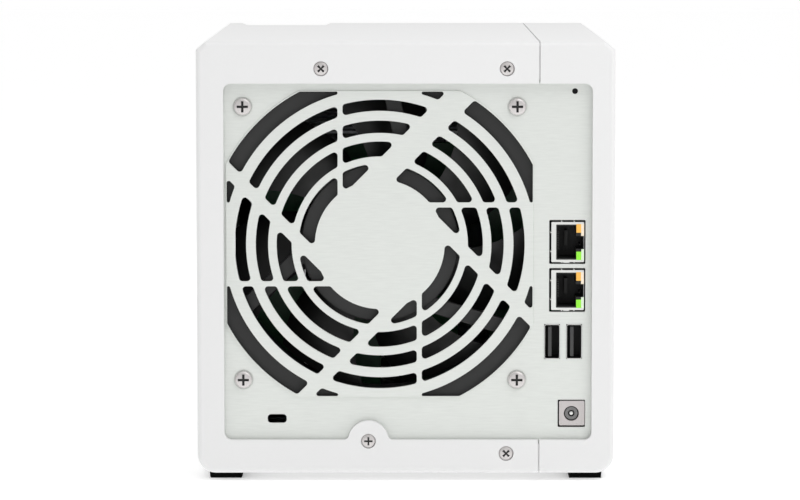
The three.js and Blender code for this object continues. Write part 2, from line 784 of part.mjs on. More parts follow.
function trayBody() {
  const { bodyLeft, bodyRight, wall, bottom, top, lowRail, highRail, rear } = TRAY;
  const front = TRAY.faceFront + TRAY.faceThickness - TRAY.root;
  const lower = box(bodyLeft, bodyRight, front, rear, bottom, bottom + lowRail);
  const upper = box(bodyLeft, bodyRight, front, rear, top - highRail, top);
  const side = box(bodyLeft, bodyLeft + wall, front, rear, bottom, top);
  const windows = airSlotPlaces(front, rear).map((y) => (
    box(
      bodyLeft - PAST, bodyLeft + 2 * wall, y, y + AIR_SLOT.width,
      bottom + AIR_SLOT.margin, top - AIR_SLOT.margin,
    )
  ));
  return cut(join(lower, upper, side), windows);
}

function leverShape() {
  const { halfWidth, top, thickness, pinReach, pinRadius, dishRadius, dishDepth } = LEVER;
  const plate = box(-halfWidth, halfWidth, LEVER_FRONT, LEVER_FRONT + thickness, LEVER_AXIS.z, top);
  const across = (radius, length) => new THREE.CylinderGeometry(radius, radius, length, 16)
    .rotateZ(Math.PI / 2)
    .translate(0, LEVER_AXIS.y, LEVER_AXIS.z);
  const dishWidth = 2 * (halfWidth - LEVER.dishMargin);
  const fingerDish = new THREE.CylinderGeometry(dishRadius, dishRadius, dishWidth, 48)
    .rotateZ(Math.PI / 2)
    .translate(0, LEVER_FRONT - dishRadius + dishDepth, top - LEVER.dishBelowTop);
  return join(
    cut(plate, fingerDish),
    across(LEVER.barrel, 2 * halfWidth),
    across(pinRadius, 2 * (halfWidth + pinReach)),
  );
}

function latchShape() {
  const { bottom, top, thickness, radius } = LATCH;
  const { grooves, groovePitch, grooveWidth, grooveDepth, grooveMargin } = LATCH;
  const half = LEVER.halfWidth;
  const reach = half - grooveMargin;
  const outline = roundedRectangle(-half, half, bottom, top, radius);
  const cap = prism(outline, LEVER_FRONT, LEVER_FRONT + thickness, 3);
  const cuts = Array.from({ length: grooves }, (_, row) => {
    const z = (bottom + top) / 2 + (row - (grooves - 1) / 2) * groovePitch;
    return box(
      -reach, reach, LEVER_FRONT - PAST, LEVER_FRONT + grooveDepth, z - grooveWidth / 2, z + grooveWidth / 2,
    );
  });
  return cut(cap, cuts);
}

function addTrays() {
  const tray = join(trayFace(), trayBody());
  const lever = leverShape();
  const latch = latchShape();
  for (let bay = 0; bay < BAY.count; bay += 1) {
    const x = bayCentre(bay);
    addPiece(`drive_tray_${bay + 1}`, tray, MATERIALS.tray, x);
    addPiece(`tray_lever_${bay + 1}`, lever, MATERIALS.lever, x);
    addPiece(`tray_latch_${bay + 1}`, latch, MATERIALS.button, x);
  }
}

// ---------------------------------------------------------------- front bezel and its controls

function addFrontBezel() {
  const { rear, face, wall, fillet, rim, opening } = BEZEL;
  const { left, right, bottom, top, radius } = opening;
  const faceRear = FRONT + face;
  const outside = common(
    softPrism(caseOutline(0), FRONT, rear + 2 * fillet, fillet),
    box(LEFT - PAST, RIGHT + PAST, FRONT - PAST, rear, 0, HEIGHT + PAST),
  );
  const inside = prism(caseOutline(wall), faceRear, rear + PAST);
  const rimOutside = prism(
    roundedRectangle(left - rim, right + rim, bottom - rim, top + rim, radius), faceRear - GAP, rear, 3,
  );
  const doorway = prism(roundedRectangle(left, right, bottom, top, radius), FRONT - PAST, rear + PAST, 3);
  const usbHole = box(
    COLUMN_X - USB.width / 2 - GAP, COLUMN_X + USB.width / 2 + GAP, FRONT - PAST, faceRear + PAST,
    FRONT_USB.z - USB.height / 2 - GAP, FRONT_USB.z + USB.height / 2 + GAP,
  );
  const roundHoles = [
    ...[POWER_BUTTON, COPY_BUTTON].map(({ radius: buttonRadius, z }) => (
      barrel(buttonRadius + LOOSE, COLUMN_X, z, FRONT - PAST, faceRear + PAST)
    )),
    ...LENS.z.map((z) => barrel(LENS.radius + GAP, COLUMN_X, z, FRONT - PAST, faceRear + PAST, 12)),
  ];
  const frame = join(cut(outside, inside), rimOutside);
  addPiece('front_bezel', cut(frame, doorway, nameplateRecess(), usbHole, roundHoles), MATERIALS.bezel);
}

function pushButton({ radius }) {
  const { setBack, collar, collarThickness, stemGap } = BUTTON;
  const faceRear = FRONT + BEZEL.face;
  const collarFront = faceRear + GAP;
  return join(
    barrel(radius, 0, 0, FRONT + setBack, collarFront + collarThickness / 2, 20),
    barrel(radius + collar, 0, 0, collarFront, collarFront + collarThickness, 20),
    barrel(radius / 3, 0, 0, faceRear, FRONT_BOARD.front - stemGap, 10),
  );
}

function lightPipe() {
  const { radius, collar, collarThickness, setBack } = LENS;
  const collarFront = FRONT + BEZEL.face + GAP;
  return join(
    barrel(radius, 0, 0, FRONT + setBack, FRONT_BOARD.front - GAP, 10),
    barrel(radius + collar, 0, 0, collarFront, collarFront + collarThickness, 10),
  );
}

function addControls() {
  const { front, left, right, bottom, top } = FRONT_BOARD;
  addPiece('front_board', box(left, right, front, front + BOARD_THICKNESS, bottom, top), MATERIALS.board);
  addPiece('power_button', pushButton(POWER_BUTTON), MATERIALS.button, COLUMN_X, 0, POWER_BUTTON.z);
  addPiece('copy_button', pushButton(COPY_BUTTON), MATERIALS.button, COLUMN_X, 0, COPY_BUTTON.z);
  const names = ['status_lens', 'network_lens', 'usb_lens'];
  names.forEach((name, index) => {
    addPiece(name, lightPipe(), MATERIALS.lens, COLUMN_X, 0, LENS.z[index]);
  });
}

// ---------------------------------------------------------------- ports

// A type-A socket with its mouth facing +Y at y = 0 and its tongue on the low X side.
function usbSocket() {
  const { width, height, depth, wall, cavityDepth, tongue, tongueSide, tongueEnds, tongueSetBack } = USB;
  const shell = box(-width / 2, width / 2, -depth, 0, -height / 2, height / 2);
  const inner = box(
    -width / 2 + wall, width / 2 - wall, -cavityDepth, PAST, -height / 2 + wall, height / 2 - wall,
  );
  const tongueLeft = -width / 2 + wall + tongueSide;
  const tongueHalf = height / 2 - wall - tongueEnds;
  const tongueSolid = box(
    tongueLeft, tongueLeft + tongue, -cavityDepth - PAST, -tongueSetBack, -tongueHalf, tongueHalf,
  );
  return join(cut(shell, inner), tongueSolid);
}

function lanJack() {
  const { width, height, depth, x } = LAN;
  const cavityX = LAN_CAVITY.x - x;
  const halfCavity = LAN_CAVITY.width / 2;
  const body = box(-width / 2, width / 2, -depth, 0, -height / 2, height / 2);
  const cavity = box(
    cavityX - halfCavity, cavityX + halfCavity, -LAN_CAVITY.depth, PAST,
    -LAN_CAVITY.height / 2, LAN_CAVITY.height / 2,
  );
  const notch = box(
    cavityX - halfCavity - LAN_CAVITY.notchWidth, cavityX, -LAN_CAVITY.depth, PAST,
    -LAN_CAVITY.notchHeight / 2, LAN_CAVITY.notchHeight / 2,
  );
  return cut(body, cavity, notch);
}

function powerJack() {
  const { size, depth, hole, holeDepth, pin, pinSetBack } = POWER_JACK;
  const body = box(-size / 2, size / 2, -depth, 0, -size / 2, size / 2);
  const bore = barrel(hole, 0, 0, -holeDepth, PAST, 16);
  const centrePin = barrel(pin, 0, 0, -holeDepth - PAST, -pinSetBack, 8);
  return join(cut(body, bore), centrePin);
}

function addResetSwitch() {
  const { x, z, plunger, plungerOut, plungerIn, bore, boreDepth, body, setBack } = RESET;
  const rear = PLATE.rear - PLATE.thickness - setBack;
  const half = body / 2;
  const switchBody = cut(
    box(-half, half, rear - body, rear, -half, half),
    barrel(bore, 0, 0, rear - boreDepth, rear + PAST, 16),
  );
  addPiece('reset_switch', switchBody, MATERIALS.black, x, 0, z);
  const plungerSolid = barrel(plunger, 0, 0, rear - plungerIn, rear + plungerOut, 16);
  addPiece('reset_button', plungerSolid, MATERIALS.black, x, 0, z);
}

function addPorts() {
  const mouth = PLATE.rear + LAN.proud;
  LAN.z.forEach((z, index) => {
    addPiece(`lan_jack_${index + 1}`, lanJack(), MATERIALS.shield, LAN.x, mouth, z);
  });
  const rearSocket = toGeometry(usbSocket()).rotateY(Math.PI);
  REAR_USB_X.forEach((x, index) => {
    addPiece(`rear_usb_port_${index + 1}`, rearSocket, MATERIALS.shield, x, mouth, REAR_USB_Z);
  });
  addPiece('dc_jack', powerJack(), MATERIALS.jack, POWER_JACK.x, mouth, POWER_JACK.z);
  const frontSocket = toGeometry(usbSocket()).rotateZ(Math.PI);
  addPiece(
    'front_usb_port', frontSocket, MATERIALS.shield, COLUMN_X, FRONT + FRONT_USB.setBack, FRONT_USB.z,
  );
}

// ---------------------------------------------------------------- boards and what is on them

function addMainboard() {
  const { x, front, rear, bottom, top } = MAINBOARD;
  const face = x + BOARD_THICKNESS;
  addPiece('mainboard', box(x, face, front, rear, bottom, top), MATERIALS.board);

  const base = box(
    face + GAP, face + GAP + HEATSINK.base, HEATSINK.front, HEATSINK.rear, HEATSINK.bottom, HEATSINK.top,
  );
  const pitch = (HEATSINK.top - HEATSINK.bottom - HEATSINK.fin) / (HEATSINK.fins - 1);
  const fins = Array.from({ length: HEATSINK.fins }, (_, number) => {
    const z = HEATSINK.bottom + number * pitch;
    const tip = face + HEATSINK.base + HEATSINK.height;
    return box(face + PAST, tip, HEATSINK.front, HEATSINK.rear, z, z + HEATSINK.fin);
  });
  addPiece('heatsink', join(base, fins), MATERIALS.aluminium);

  const cell = new THREE.CylinderGeometry(COIN_CELL.radius, COIN_CELL.radius, COIN_CELL.thickness, 32)
    .rotateZ(Math.PI / 2)
    .translate(face + GAP + COIN_CELL.thickness / 2, COIN_CELL.y, COIN_CELL.z);
  addPiece('coin_cell', cell, MATERIALS.steel);
}

function addBackplane() {
  const backplaneLeft = CAGE.left + SHEET + GAP;
  const backplaneRight = CAGE.right - SHEET - GAP;
  const backplaneRear = BACKPLANE.front + BOARD_THICKNESS;
  const { holeX, holeZ } = BACKPLANE;
  const airHoles = Array.from({ length: BAY.count }, (_, bay) => box(
    bayCentre(bay) + holeX[0], bayCentre(bay) + holeX[1],
    BACKPLANE.front - PAST, backplaneRear + PAST, holeZ[0], holeZ[1],
  ));
  const backplane = box(
    backplaneLeft, backplaneRight, BACKPLANE.front, backplaneRear, BACKPLANE.bottom, BACKPLANE.top,
  );
  addPiece('backplane', cut(backplane, airHoles), MATERIALS.board);

  const { width, length, depth, offsetX, keyWidth, keyDepth, keys } = SATA;
  const connectorRear = BACKPLANE.front - GAP;
  const connectorFront = connectorRear - depth;
  const connector = cut(
    box(-width / 2, width / 2, connectorFront, connectorRear, 0, length),
    keys.map(([z0, z1]) => (
      box(-keyWidth / 2, keyWidth / 2, connectorFront - PAST, connectorFront + keyDepth, z0, z1)
    )),
  );
  for (let bay = 0; bay < BAY.count; bay += 1) {
    const x = bayCentre(bay) + offsetX;
    addPiece(`sata_connector_${bay + 1}`, connector, MATERIALS.black, x, 0, SATA.bottom);
  }
}

addCovers();
addRearPlate();
addFrontBezel();
addScrews();
addFeet();
addFanFrame();
addFanRotor();
addCage();
addTrays();
addControls();
addPorts();
addResetSwitch();
addMainboard();
addBackplane();

export default enclosure;
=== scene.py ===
import math

import bmesh
import bpy
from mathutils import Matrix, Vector
from mathutils.geometry import delaunay_2d_cdt


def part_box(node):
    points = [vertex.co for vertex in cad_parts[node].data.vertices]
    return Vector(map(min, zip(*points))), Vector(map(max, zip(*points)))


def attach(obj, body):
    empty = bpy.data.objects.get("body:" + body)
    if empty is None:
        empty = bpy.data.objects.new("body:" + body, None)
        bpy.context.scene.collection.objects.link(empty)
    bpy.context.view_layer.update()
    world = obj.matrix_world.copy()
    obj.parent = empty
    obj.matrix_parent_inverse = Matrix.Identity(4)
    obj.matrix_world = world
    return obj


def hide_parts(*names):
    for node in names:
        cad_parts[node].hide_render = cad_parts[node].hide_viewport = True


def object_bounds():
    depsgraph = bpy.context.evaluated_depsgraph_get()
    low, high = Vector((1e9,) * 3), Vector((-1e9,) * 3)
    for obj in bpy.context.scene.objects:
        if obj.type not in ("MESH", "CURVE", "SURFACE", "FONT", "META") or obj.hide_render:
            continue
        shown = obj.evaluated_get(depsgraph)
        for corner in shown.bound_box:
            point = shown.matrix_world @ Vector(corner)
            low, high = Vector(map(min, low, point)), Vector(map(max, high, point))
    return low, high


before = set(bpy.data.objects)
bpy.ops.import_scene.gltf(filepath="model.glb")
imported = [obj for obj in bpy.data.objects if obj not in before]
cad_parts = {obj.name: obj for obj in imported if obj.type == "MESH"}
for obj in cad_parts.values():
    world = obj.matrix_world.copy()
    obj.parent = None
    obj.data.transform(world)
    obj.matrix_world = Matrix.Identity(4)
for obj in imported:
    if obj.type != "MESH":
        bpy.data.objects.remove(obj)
CAD_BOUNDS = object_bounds()

# Lengths are in millimetres unless a comment says otherwise. The ports and the fan face +Y, and +Z is up.
MM = 0.001
MERGE_DISTANCE = 0.002 * MM
CHASSIS = "chassis"
COVER_SCREWS = ("cover_screw_1", "cover_screw_2", "cover_screw_3")
FAN_SCREWS = ("fan_screw_1", "fan_screw_2", "fan_screw_3", "fan_screw_4")

# -------------------- places read from the frame


def node_box(node):
    low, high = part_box(node)
    return low / MM, high / MM


def node_centre(node):
    low, high = node_box(node)
    return (low + high) / 2


def node_middle(node):
    """The middle of a node as seen from behind: x and z."""
    centre = node_centre(node)
    return centre.x, centre.z


CASE_LOW, CASE_HIGH = CAD_BOUNDS[0] / MM, CAD_BOUNDS[1] / MM
LEFT, RIGHT = CASE_LOW.x, CASE_HIGH.x
FRONT, REAR = CASE_LOW.y, CASE_HIGH.y
TOP = CASE_HIGH.z
CASE_BOTTOM = node_box("main_cover")[0].z
COVER_FRONT = node_box("main_cover")[0].y
FAN_CENTRE = node_centre("fan_frame")
FAN_REAR = node_box("fan_frame")[1].y
FAN_FRONT = node_box("fan_frame")[0].y
PLATE_LOW, PLATE_HIGH = node_box("rear_plate")

# -------------------- sizes of the visible shapes

BEVEL_WIDTH, BEVEL_HEIGHT = 3.7, 3.1
BEVEL_SOFTNESS = 1.4
BOTTOM_RADIUS = 7
WALL = 2
REAR_FILLET = 2
FLANGE = 3
SEAM_X = -51.1
SEAM_WIDTH = 0.55
SEAM_DEPTH = 0.7
SEAM_CLEARANCE = 0.03
LIP_OVERLAP = 0.4

# A cover screw's seat: (radius, depth) steps of its rounded mouth, the counterbore and the hole.
SEAT_MOUTH = ((3.0, 0), (2.9, 0.05), (2.82, 0.2))
SEAT_RADIUS, SEAT_HOLE = 2.8, 1.75
SEAT_DEPTH = 1.5

WINDOW_LEFT, WINDOW_RIGHT = -71.4, 69.6
WINDOW_BOTTOM, WINDOW_TOP = 16, 153
WINDOW_RADIUS = 3
WINDOW_FILLET = 1.1
TAB_CENTRE = (14.3, 15.6)
TAB_RADIUS = 7.8
TAB_ROOT = 2

PLATE_THICKNESS = 1.2
EMBOSS = 0.8
PLATE_REAR = PLATE_HIGH.y - EMBOSS
PLATE_FRONT = PLATE_REAR - PLATE_THICKNESS
PLATE_CORNER = 4
# A fan screw's seat: (radius, height over the plate) steps of a shallow dish and the hole.
FAN_SEAT = ((3.9, 0), (3.78, -0.04), (3.5, -0.12), (3.34, -0.14), (2.2, -0.14), (2.2, -PLATE_THICKNESS))
RESET_HOLE = 1.12
GRILLE_CENTRE = (9.9, 91.3)
ZONE_RADIUS = 66.35
ZONE_HALF = 58.8
ZONE_RAMP = 0.14
RINGS = [(24.85, 31.05), (33.75, 39.5), (42.75, 47.5), (51.2, 55.5), (59.7, 66.05)]
UPRIGHT_EDGE, UPRIGHT_WIDTH = 16.1, 1.9
SLANTED_EDGE, SLANTED_WIDTHS = 23.3, (4.75, 9.8, 4.75, 4.75)
SLOT_CORNER = 1.3
SLOT_INSET = 0.22
SLOT_EDGE = 0.12
LOCK_SLOT = {"x": 49.4, "z": 24, "width": 7.3, "height": 3.4, "corner": 1.3}

NAMEPLATE_LEFT, NAMEPLATE_RIGHT = 33, 71
NAMEPLATE_DEPTH, NAMEPLATE_SLOPE, NAMEPLATE_LENGTH = 1.1, 2.2, 30

# -------------------- colours and materials


def linear(level):
    """A screen level from 0 to 255 as linear light."""
    value = level / 255
    return value / 12.92 if value <= 0.04045 else ((value + 0.055) / 1.055) ** 2.4


def tone(red, green, blue):
    return (linear(red), linear(green), linear(blue), 1)


def gray(level):
    return tone(level, level, level)


def shade(colour, factor):
    return (*(min(1, channel * factor) for channel in colour[:3]), 1)


def finish(name, colour, roughness, metallic=0.0, grain=900, spread=0.03,
           rough_spread=0.04, bump=0.00002, detail=3, **sockets):
    """A surface whose colour, gloss and height all follow one fine noise, in the piece's own space.
    Grain is the noise's fineness, as one number or one for each axis. Bump is its height in metres."""
    material = bpy.data.materials.new(name)
    material.use_nodes = True
    nodes, links = material.node_tree.nodes, material.node_tree.links
    shader = nodes["Principled BSDF"]
    shader.inputs["Metallic"].default_value = metallic
    for socket, value in sockets.items():
        shader.inputs[socket.replace("_", " ")].default_value = value
    place = nodes.new("ShaderNodeTexCoord")
    mapping = nodes.new("ShaderNodeMapping")
    mapping.inputs["Scale"].default_value = grain if isinstance(grain, tuple) else (grain,) * 3
    noise = nodes.new("ShaderNodeTexNoise")
    noise.inputs["Scale"].default_value = 1
    noise.inputs["Detail"].default_value = detail
    links.new(place.outputs["Object"], mapping.inputs["Vector"])
    links.new(mapping.outputs["Vector"], noise.inputs["Vector"])
    colours = nodes.new("ShaderNodeMix")
    colours.data_type = "RGBA"
    colours.inputs["A"].default_value = shade(colour, 1 - spread)
    colours.inputs["B"].default_value = shade(colour, 1 + spread)
    links.new(noise.outputs["Fac"], colours.inputs["Factor"])
    links.new(colours.outputs["Result"], shader.inputs["Base Color"])
    gloss = nodes.new("ShaderNodeMapRange")
    gloss.inputs["To Min"].default_value = roughness - rough_spread
    gloss.inputs["To Max"].default_value = roughness + rough_spread
    links.new(noise.outputs["Fac"], gloss.inputs["Value"])
    links.new(gloss.outputs["Result"], shader.inputs["Roughness"])
    relief = nodes.new("ShaderNodeBump")
    relief.inputs["Strength"].default_value = 1
    relief.inputs["Distance"].default_value = bump
    links.new(noise.outputs["Fac"], relief.inputs["Height"])
    links.new(relief.outputs["Normal"], shader.inputs["Normal"])
    return material


LACQUER = finish("white_lacquer", gray(233), 0.42, spread=0.008, bump=0.000006)
BEZEL_WHITE = finish("white_moulding", gray(233), 0.32, grain=1400, spread=0.006,
                     bump=0.000005)
BRUSHED = finish("brushed_plate", tone(226, 229, 225), 0.45, 0.45, grain=(150, 150, 1500),
                 spread=0.07, rough_spread=0.06, bump=0.000006, detail=4)
SHEET = finish("zinc_sheet", tone(190, 193, 196), 0.42, 0.9, grain=160, spread=0.08)
NICKEL = finish("nickel_screw", tone(214, 210, 209), 0.4, 0.7, grain=2400, spread=0.05)
# Dark gray for the walls and floor of a screw's cross recess: painted shade in the recess.
RECESS_SHADE = finish("screw_recess_shade", gray(70), 0.6, 0.4, grain=2400, spread=0.15)
FAN_PLASTIC = finish("fan_plastic", gray(42), 0.55, grain=1800, spread=0.08, bump=0.00001)
BLADE_PLASTIC = finish("blade_plastic", gray(20), 0.4, spread=0.08)
RUBBER = finish("foot_rubber", gray(8), 0.85, grain=1500, spread=0.15, bump=0.00004,
                Specular_IOR_Level=0.1)
# Near black strips behind the tray slots: painted shade that keeps the inside of the case dark.
VENT_SHADE = finish("vent_shade", gray(18), 0.95, grain=1100, spread=0.3, bump=0.0002)
SOLDER_MASK = finish("solder_mask", tone(24, 92, 52), 0.35, grain=500, spread=0.12)
NYLON = finish("black_nylon", gray(22), 0.55, grain=1600, spread=0.1)
TONGUE = finish("gray_nylon", gray(66), 0.5, grain=1600, spread=0.08)
TIN = finish("tin_shield", tone(228, 229, 226), 0.3, 0.7, grain=700, spread=0.03)
JACK_GRAY = finish("jack_gray", tone(200, 195, 194), 0.5, grain=1600, spread=0.03)
SLEEVE = finish("jack_sleeve", gray(126), 0.4, 0.6, grain=1600, spread=0.06)
TRAY_WHITE = finish("tray_white", gray(224), 0.42, grain=1500, spread=0.01, bump=0.00001)
LEVER_WHITE = finish("lever_white", gray(238), 0.34, grain=1500, spread=0.008)
BUTTON_GRAY = finish("button_gray", gray(218), 0.34, grain=1500, spread=0.01)
LENS_CLEAR = finish("lens_clear", tone(205, 226, 236), 0.12, Transmission_Weight=0.6)
ALUMINIUM = finish("fin_aluminium", tone(205, 207, 209), 0.34, 1.0, grain=(60, 900, 900), spread=0.06)
CELL_STEEL = finish("cell_steel", tone(214, 214, 210), 0.25, 1.0)
CONTACT = finish("contact", gray(58), 0.5, 0.5, spread=0.08)
AMBER = finish("amber_lens", tone(246, 186, 84), 0.3, spread=0.05,
               Emission_Color=tone(246, 180, 70), Emission_Strength=0.08)
# A pale copy of the amber lens colour: a painted highlight on the strip beside the lens.
AMBER_HIGHLIGHT = finish("amber_lens_highlight", tone(252, 238, 216), 0.3, spread=0.04)
GREEN = finish("green_lens", tone(142, 232, 56), 0.3, spread=0.05,
               Emission_Color=tone(150, 240, 46), Emission_Strength=0.12)
# A pale copy of the green lens colour: a painted highlight on the strip beside the lens.
GREEN_HIGHLIGHT = finish("green_lens_highlight", tone(232, 248, 222), 0.3, spread=0.04)

# -------------------- outlines


def arc(centre, radius, start, end, steps):
    """Points on an arc, angles in degrees, both ends included."""
    points = []
    for step in range(steps + 1):
        angle = math.radians(start + (end - start) * step / steps)
        points.append((centre[0] + radius * math.cos(angle), centre[1] + radius * math.sin(angle)))
    return points


def circle(centre, radius, steps=32):
    return arc(centre, radius, 0, 360, steps)[:-1]


def rounded_polygon(corners):
    """A counter-clockwise outline through (x, z, radius, steps) corners, each one rounded."""
    outline = []
    for index, (x, z, radius, steps) in enumerate(corners):
        corner = Vector((x, z))
        before = (corner - Vector(corners[index - 1][:2])).normalized()
        after = (Vector(corners[(index + 1) % len(corners)][:2]) - corner).normalized()
        turn = math.acos(max(-1, min(1, before.dot(after))))
        start = corner - before * radius * math.tan(turn / 2)
        centre = start + Vector((-before.y, before.x)) * radius
        first = math.degrees(math.atan2(-before.x, before.y))
        outline += arc(centre, radius, first, first + math.degrees(turn), steps)
    return outline


def rounded(x0, x1, z0, z1, radius, steps=8):
    return rounded_polygon([(x, z, radius, steps) for x, z in rectangle(x0, x1, z0, z1)])


def rectangle(x0, x1, z0, z1):
    return [(x0, z0), (x1, z0), (x1, z1), (x0, z1)]


def case_outline(inset):
    """The case from behind: round lower corners, and a slanted strip along each upper edge."""
    reach = BEVEL_WIDTH * BEVEL_HEIGHT + inset * math.hypot(BEVEL_WIDTH, BEVEL_HEIGHT)
    across = (reach - BEVEL_WIDTH * inset) / BEVEL_HEIGHT
    down = (reach - BEVEL_HEIGHT * inset) / BEVEL_WIDTH
    soft = max(0.3, BEVEL_SOFTNESS - inset)
    left, right, bottom, top = LEFT + inset, RIGHT - inset, CASE_BOTTOM + inset, TOP - inset
    return rounded_polygon([
        (left, bottom, BOTTOM_RADIUS - inset, 8),
        (right, bottom, BOTTOM_RADIUS - inset, 8),
        (right, TOP - down, soft, 4),
        (RIGHT - across, top, soft, 4),
        (LEFT + across, top, soft, 4),
        (left, TOP - down, soft, 4),
    ])


def window_outline(grow):
    """The window in the rear face, with the round tab standing up into it."""
    radius = WINDOW_RADIUS + grow
    left, right = WINDOW_LEFT - grow, WINDOW_RIGHT + grow
    bottom, top = WINDOW_BOTTOM - grow, WINDOW_TOP + grow
    rise = WINDOW_BOTTOM + TAB_ROOT - TAB_CENTRE[1]
    reach = math.sqrt((TAB_RADIUS + TAB_ROOT) ** 2 - rise ** 2)
    lean = math.degrees(math.atan2(rise, reach))
    root = TAB_ROOT + grow
    root_z = WINDOW_BOTTOM + TAB_ROOT
    return (
        arc((left + radius, bottom + radius), radius, 180, 270, 6)
        + arc((TAB_CENTRE[0] - reach, root_z), root, -90, -lean, 6)
        + arc(TAB_CENTRE, TAB_RADIUS - grow, 180 - lean, lean, 24)[1:-1]
        + arc((TAB_CENTRE[0] + reach, root_z), root, 180 + lean, 270, 6)
        + arc((right - radius, bottom + radius), radius, -90, 0, 6)
        + arc((right - radius, top - radius), radius, 0, 90, 6)
        + arc((left + radius, top - radius), radius, 90, 180, 6)
    )


def offset(outline, distance):
    """A counter-clockwise outline moved outwards by a small distance."""
    moved = []
    count = len(outline)
    for index, (x, z) in enumerate(outline):
        before, after = Vector(outline[index - 1]), Vector(outline[(index + 1) % count])
        here = Vector((x, z))
        sum_of_sides = (here - before).normalized() + (after - here).normalized()
        normal = Vector((sum_of_sides.y, -sum_of_sides.x)).normalized()
        stretch = 1 / max(0.5, sum_of_sides.length / 2)
        moved.append((x + normal.x * distance * stretch, z + normal.y * distance * stretch))
    return moved


def trim(run, reach):
    """A run of points without its first stretch of that length."""
    while len(run) > 2 and (run[1] - run[0]).length <= reach:
        reach -= (run[1] - run[0]).length
        run = run[1:]
    step = run[1] - run[0]
    return [run[0] + step * min(0.95, reach / step.length), *run[1:]]


def soften(outline, radius, steps=5, sharp=25):
    """Rounds every corner of an outline that turns by more than the sharp angle, in degrees."""
    count = len(outline)
    points = [Vector(point) for point in outline]
    corners = []
    for index, point in enumerate(points):
        arriving = point - points[index - 1]
        leaving = points[(index + 1) % count] - point
        if abs(arriving.angle_signed(leaving)) > math.radians(sharp):
            corners.append(index)
    runs = []
    for number, corner in enumerate(corners):
        following = corners[(number + 1) % len(corners)]
        runs.append([points[(corner + step) % count] for step in range((following - corner) % count + 1)])
    reaches = [corner_reach(runs[number - 1][::-1], run, radius) for number, run in enumerate(runs)]
    trimmed = []
    for number, run in enumerate(runs):
        next_reach = reaches[(number + 1) % len(reaches)]
        trimmed.append(trim(trim(run, reaches[number])[::-1], next_reach)[::-1])
    softened = []
    for number, run in enumerate(trimmed):
        after = trimmed[(number + 1) % len(trimmed)]
        softened += run + bend(run, after, steps)
    return [(point.x, point.y) for point in softened]


def corner_reach(back, ahead, radius):
    """How far from a corner, along both runs that leave it, a round of that radius begins."""
    lengths = [sum((end - start).length for start, end in zip(run, run[1:])) for run in (back, ahead)]
    low, high = 0.0, 0.45 * min(lengths)
    for _ in range(20):
        middle = (low + high) / 2
        first, second = trim(back, middle), trim(ahead, middle)
        turn = (first[0] - first[1]).angle(second[1] - second[0])
        if (second[0] - first[0]).length < 2 * radius * math.sin(turn / 2):
            low = middle
        else:
            high = middle
    return low


def bend(before, after, steps):
    """The points of an arc from the end of one run to the start of the next."""
    start, end = before[-1], after[0]
    heading = (start - before[-2]).normalized()
    turn = heading.angle(after[1] - end)
    chord = end - start
    side = 1 if heading.cross(chord) > 0 else -1
    radius = chord.length / (2 * math.sin(turn / 2))
    across = Vector((-chord.y, chord.x)).normalized()
    centre = (start + end) / 2 + across * side * radius * math.cos(turn / 2)
    spoke = start - centre
    points = []
    for step in range(1, steps):
        angle = side * turn * step / steps
        points.append(centre + Vector((
            spoke.x * math.cos(angle) - spoke.y * math.sin(angle),
            spoke.x * math.sin(angle) + spoke.y * math.cos(angle),
        )))
    return points


def clip(outline, normal, limit):
    """Keeps the part of an outline where the point's share along normal is at most the limit."""
    kept = []
    for index, point in enumerate(outline):
        previous = outline[index - 1]
        now = point[0] * normal[0] + point[1] * normal[1] - limit
        before = previous[0] * normal[0] + previous[1] * normal[1] - limit
        if (now > 0) != (before > 0):
            part = before / (before - now)
            kept.append(tuple(previous[i] + (point[i] - previous[i]) * part for i in (0, 1)))
        if now <= 0:
            kept.append(point)
    return kept


# -------------------- mesh building

# The fill that keeps only what lies inside the outer ring and outside the others.
INSIDE_WITH_HOLES = 2
FILL_TOLERANCE = 0.00001


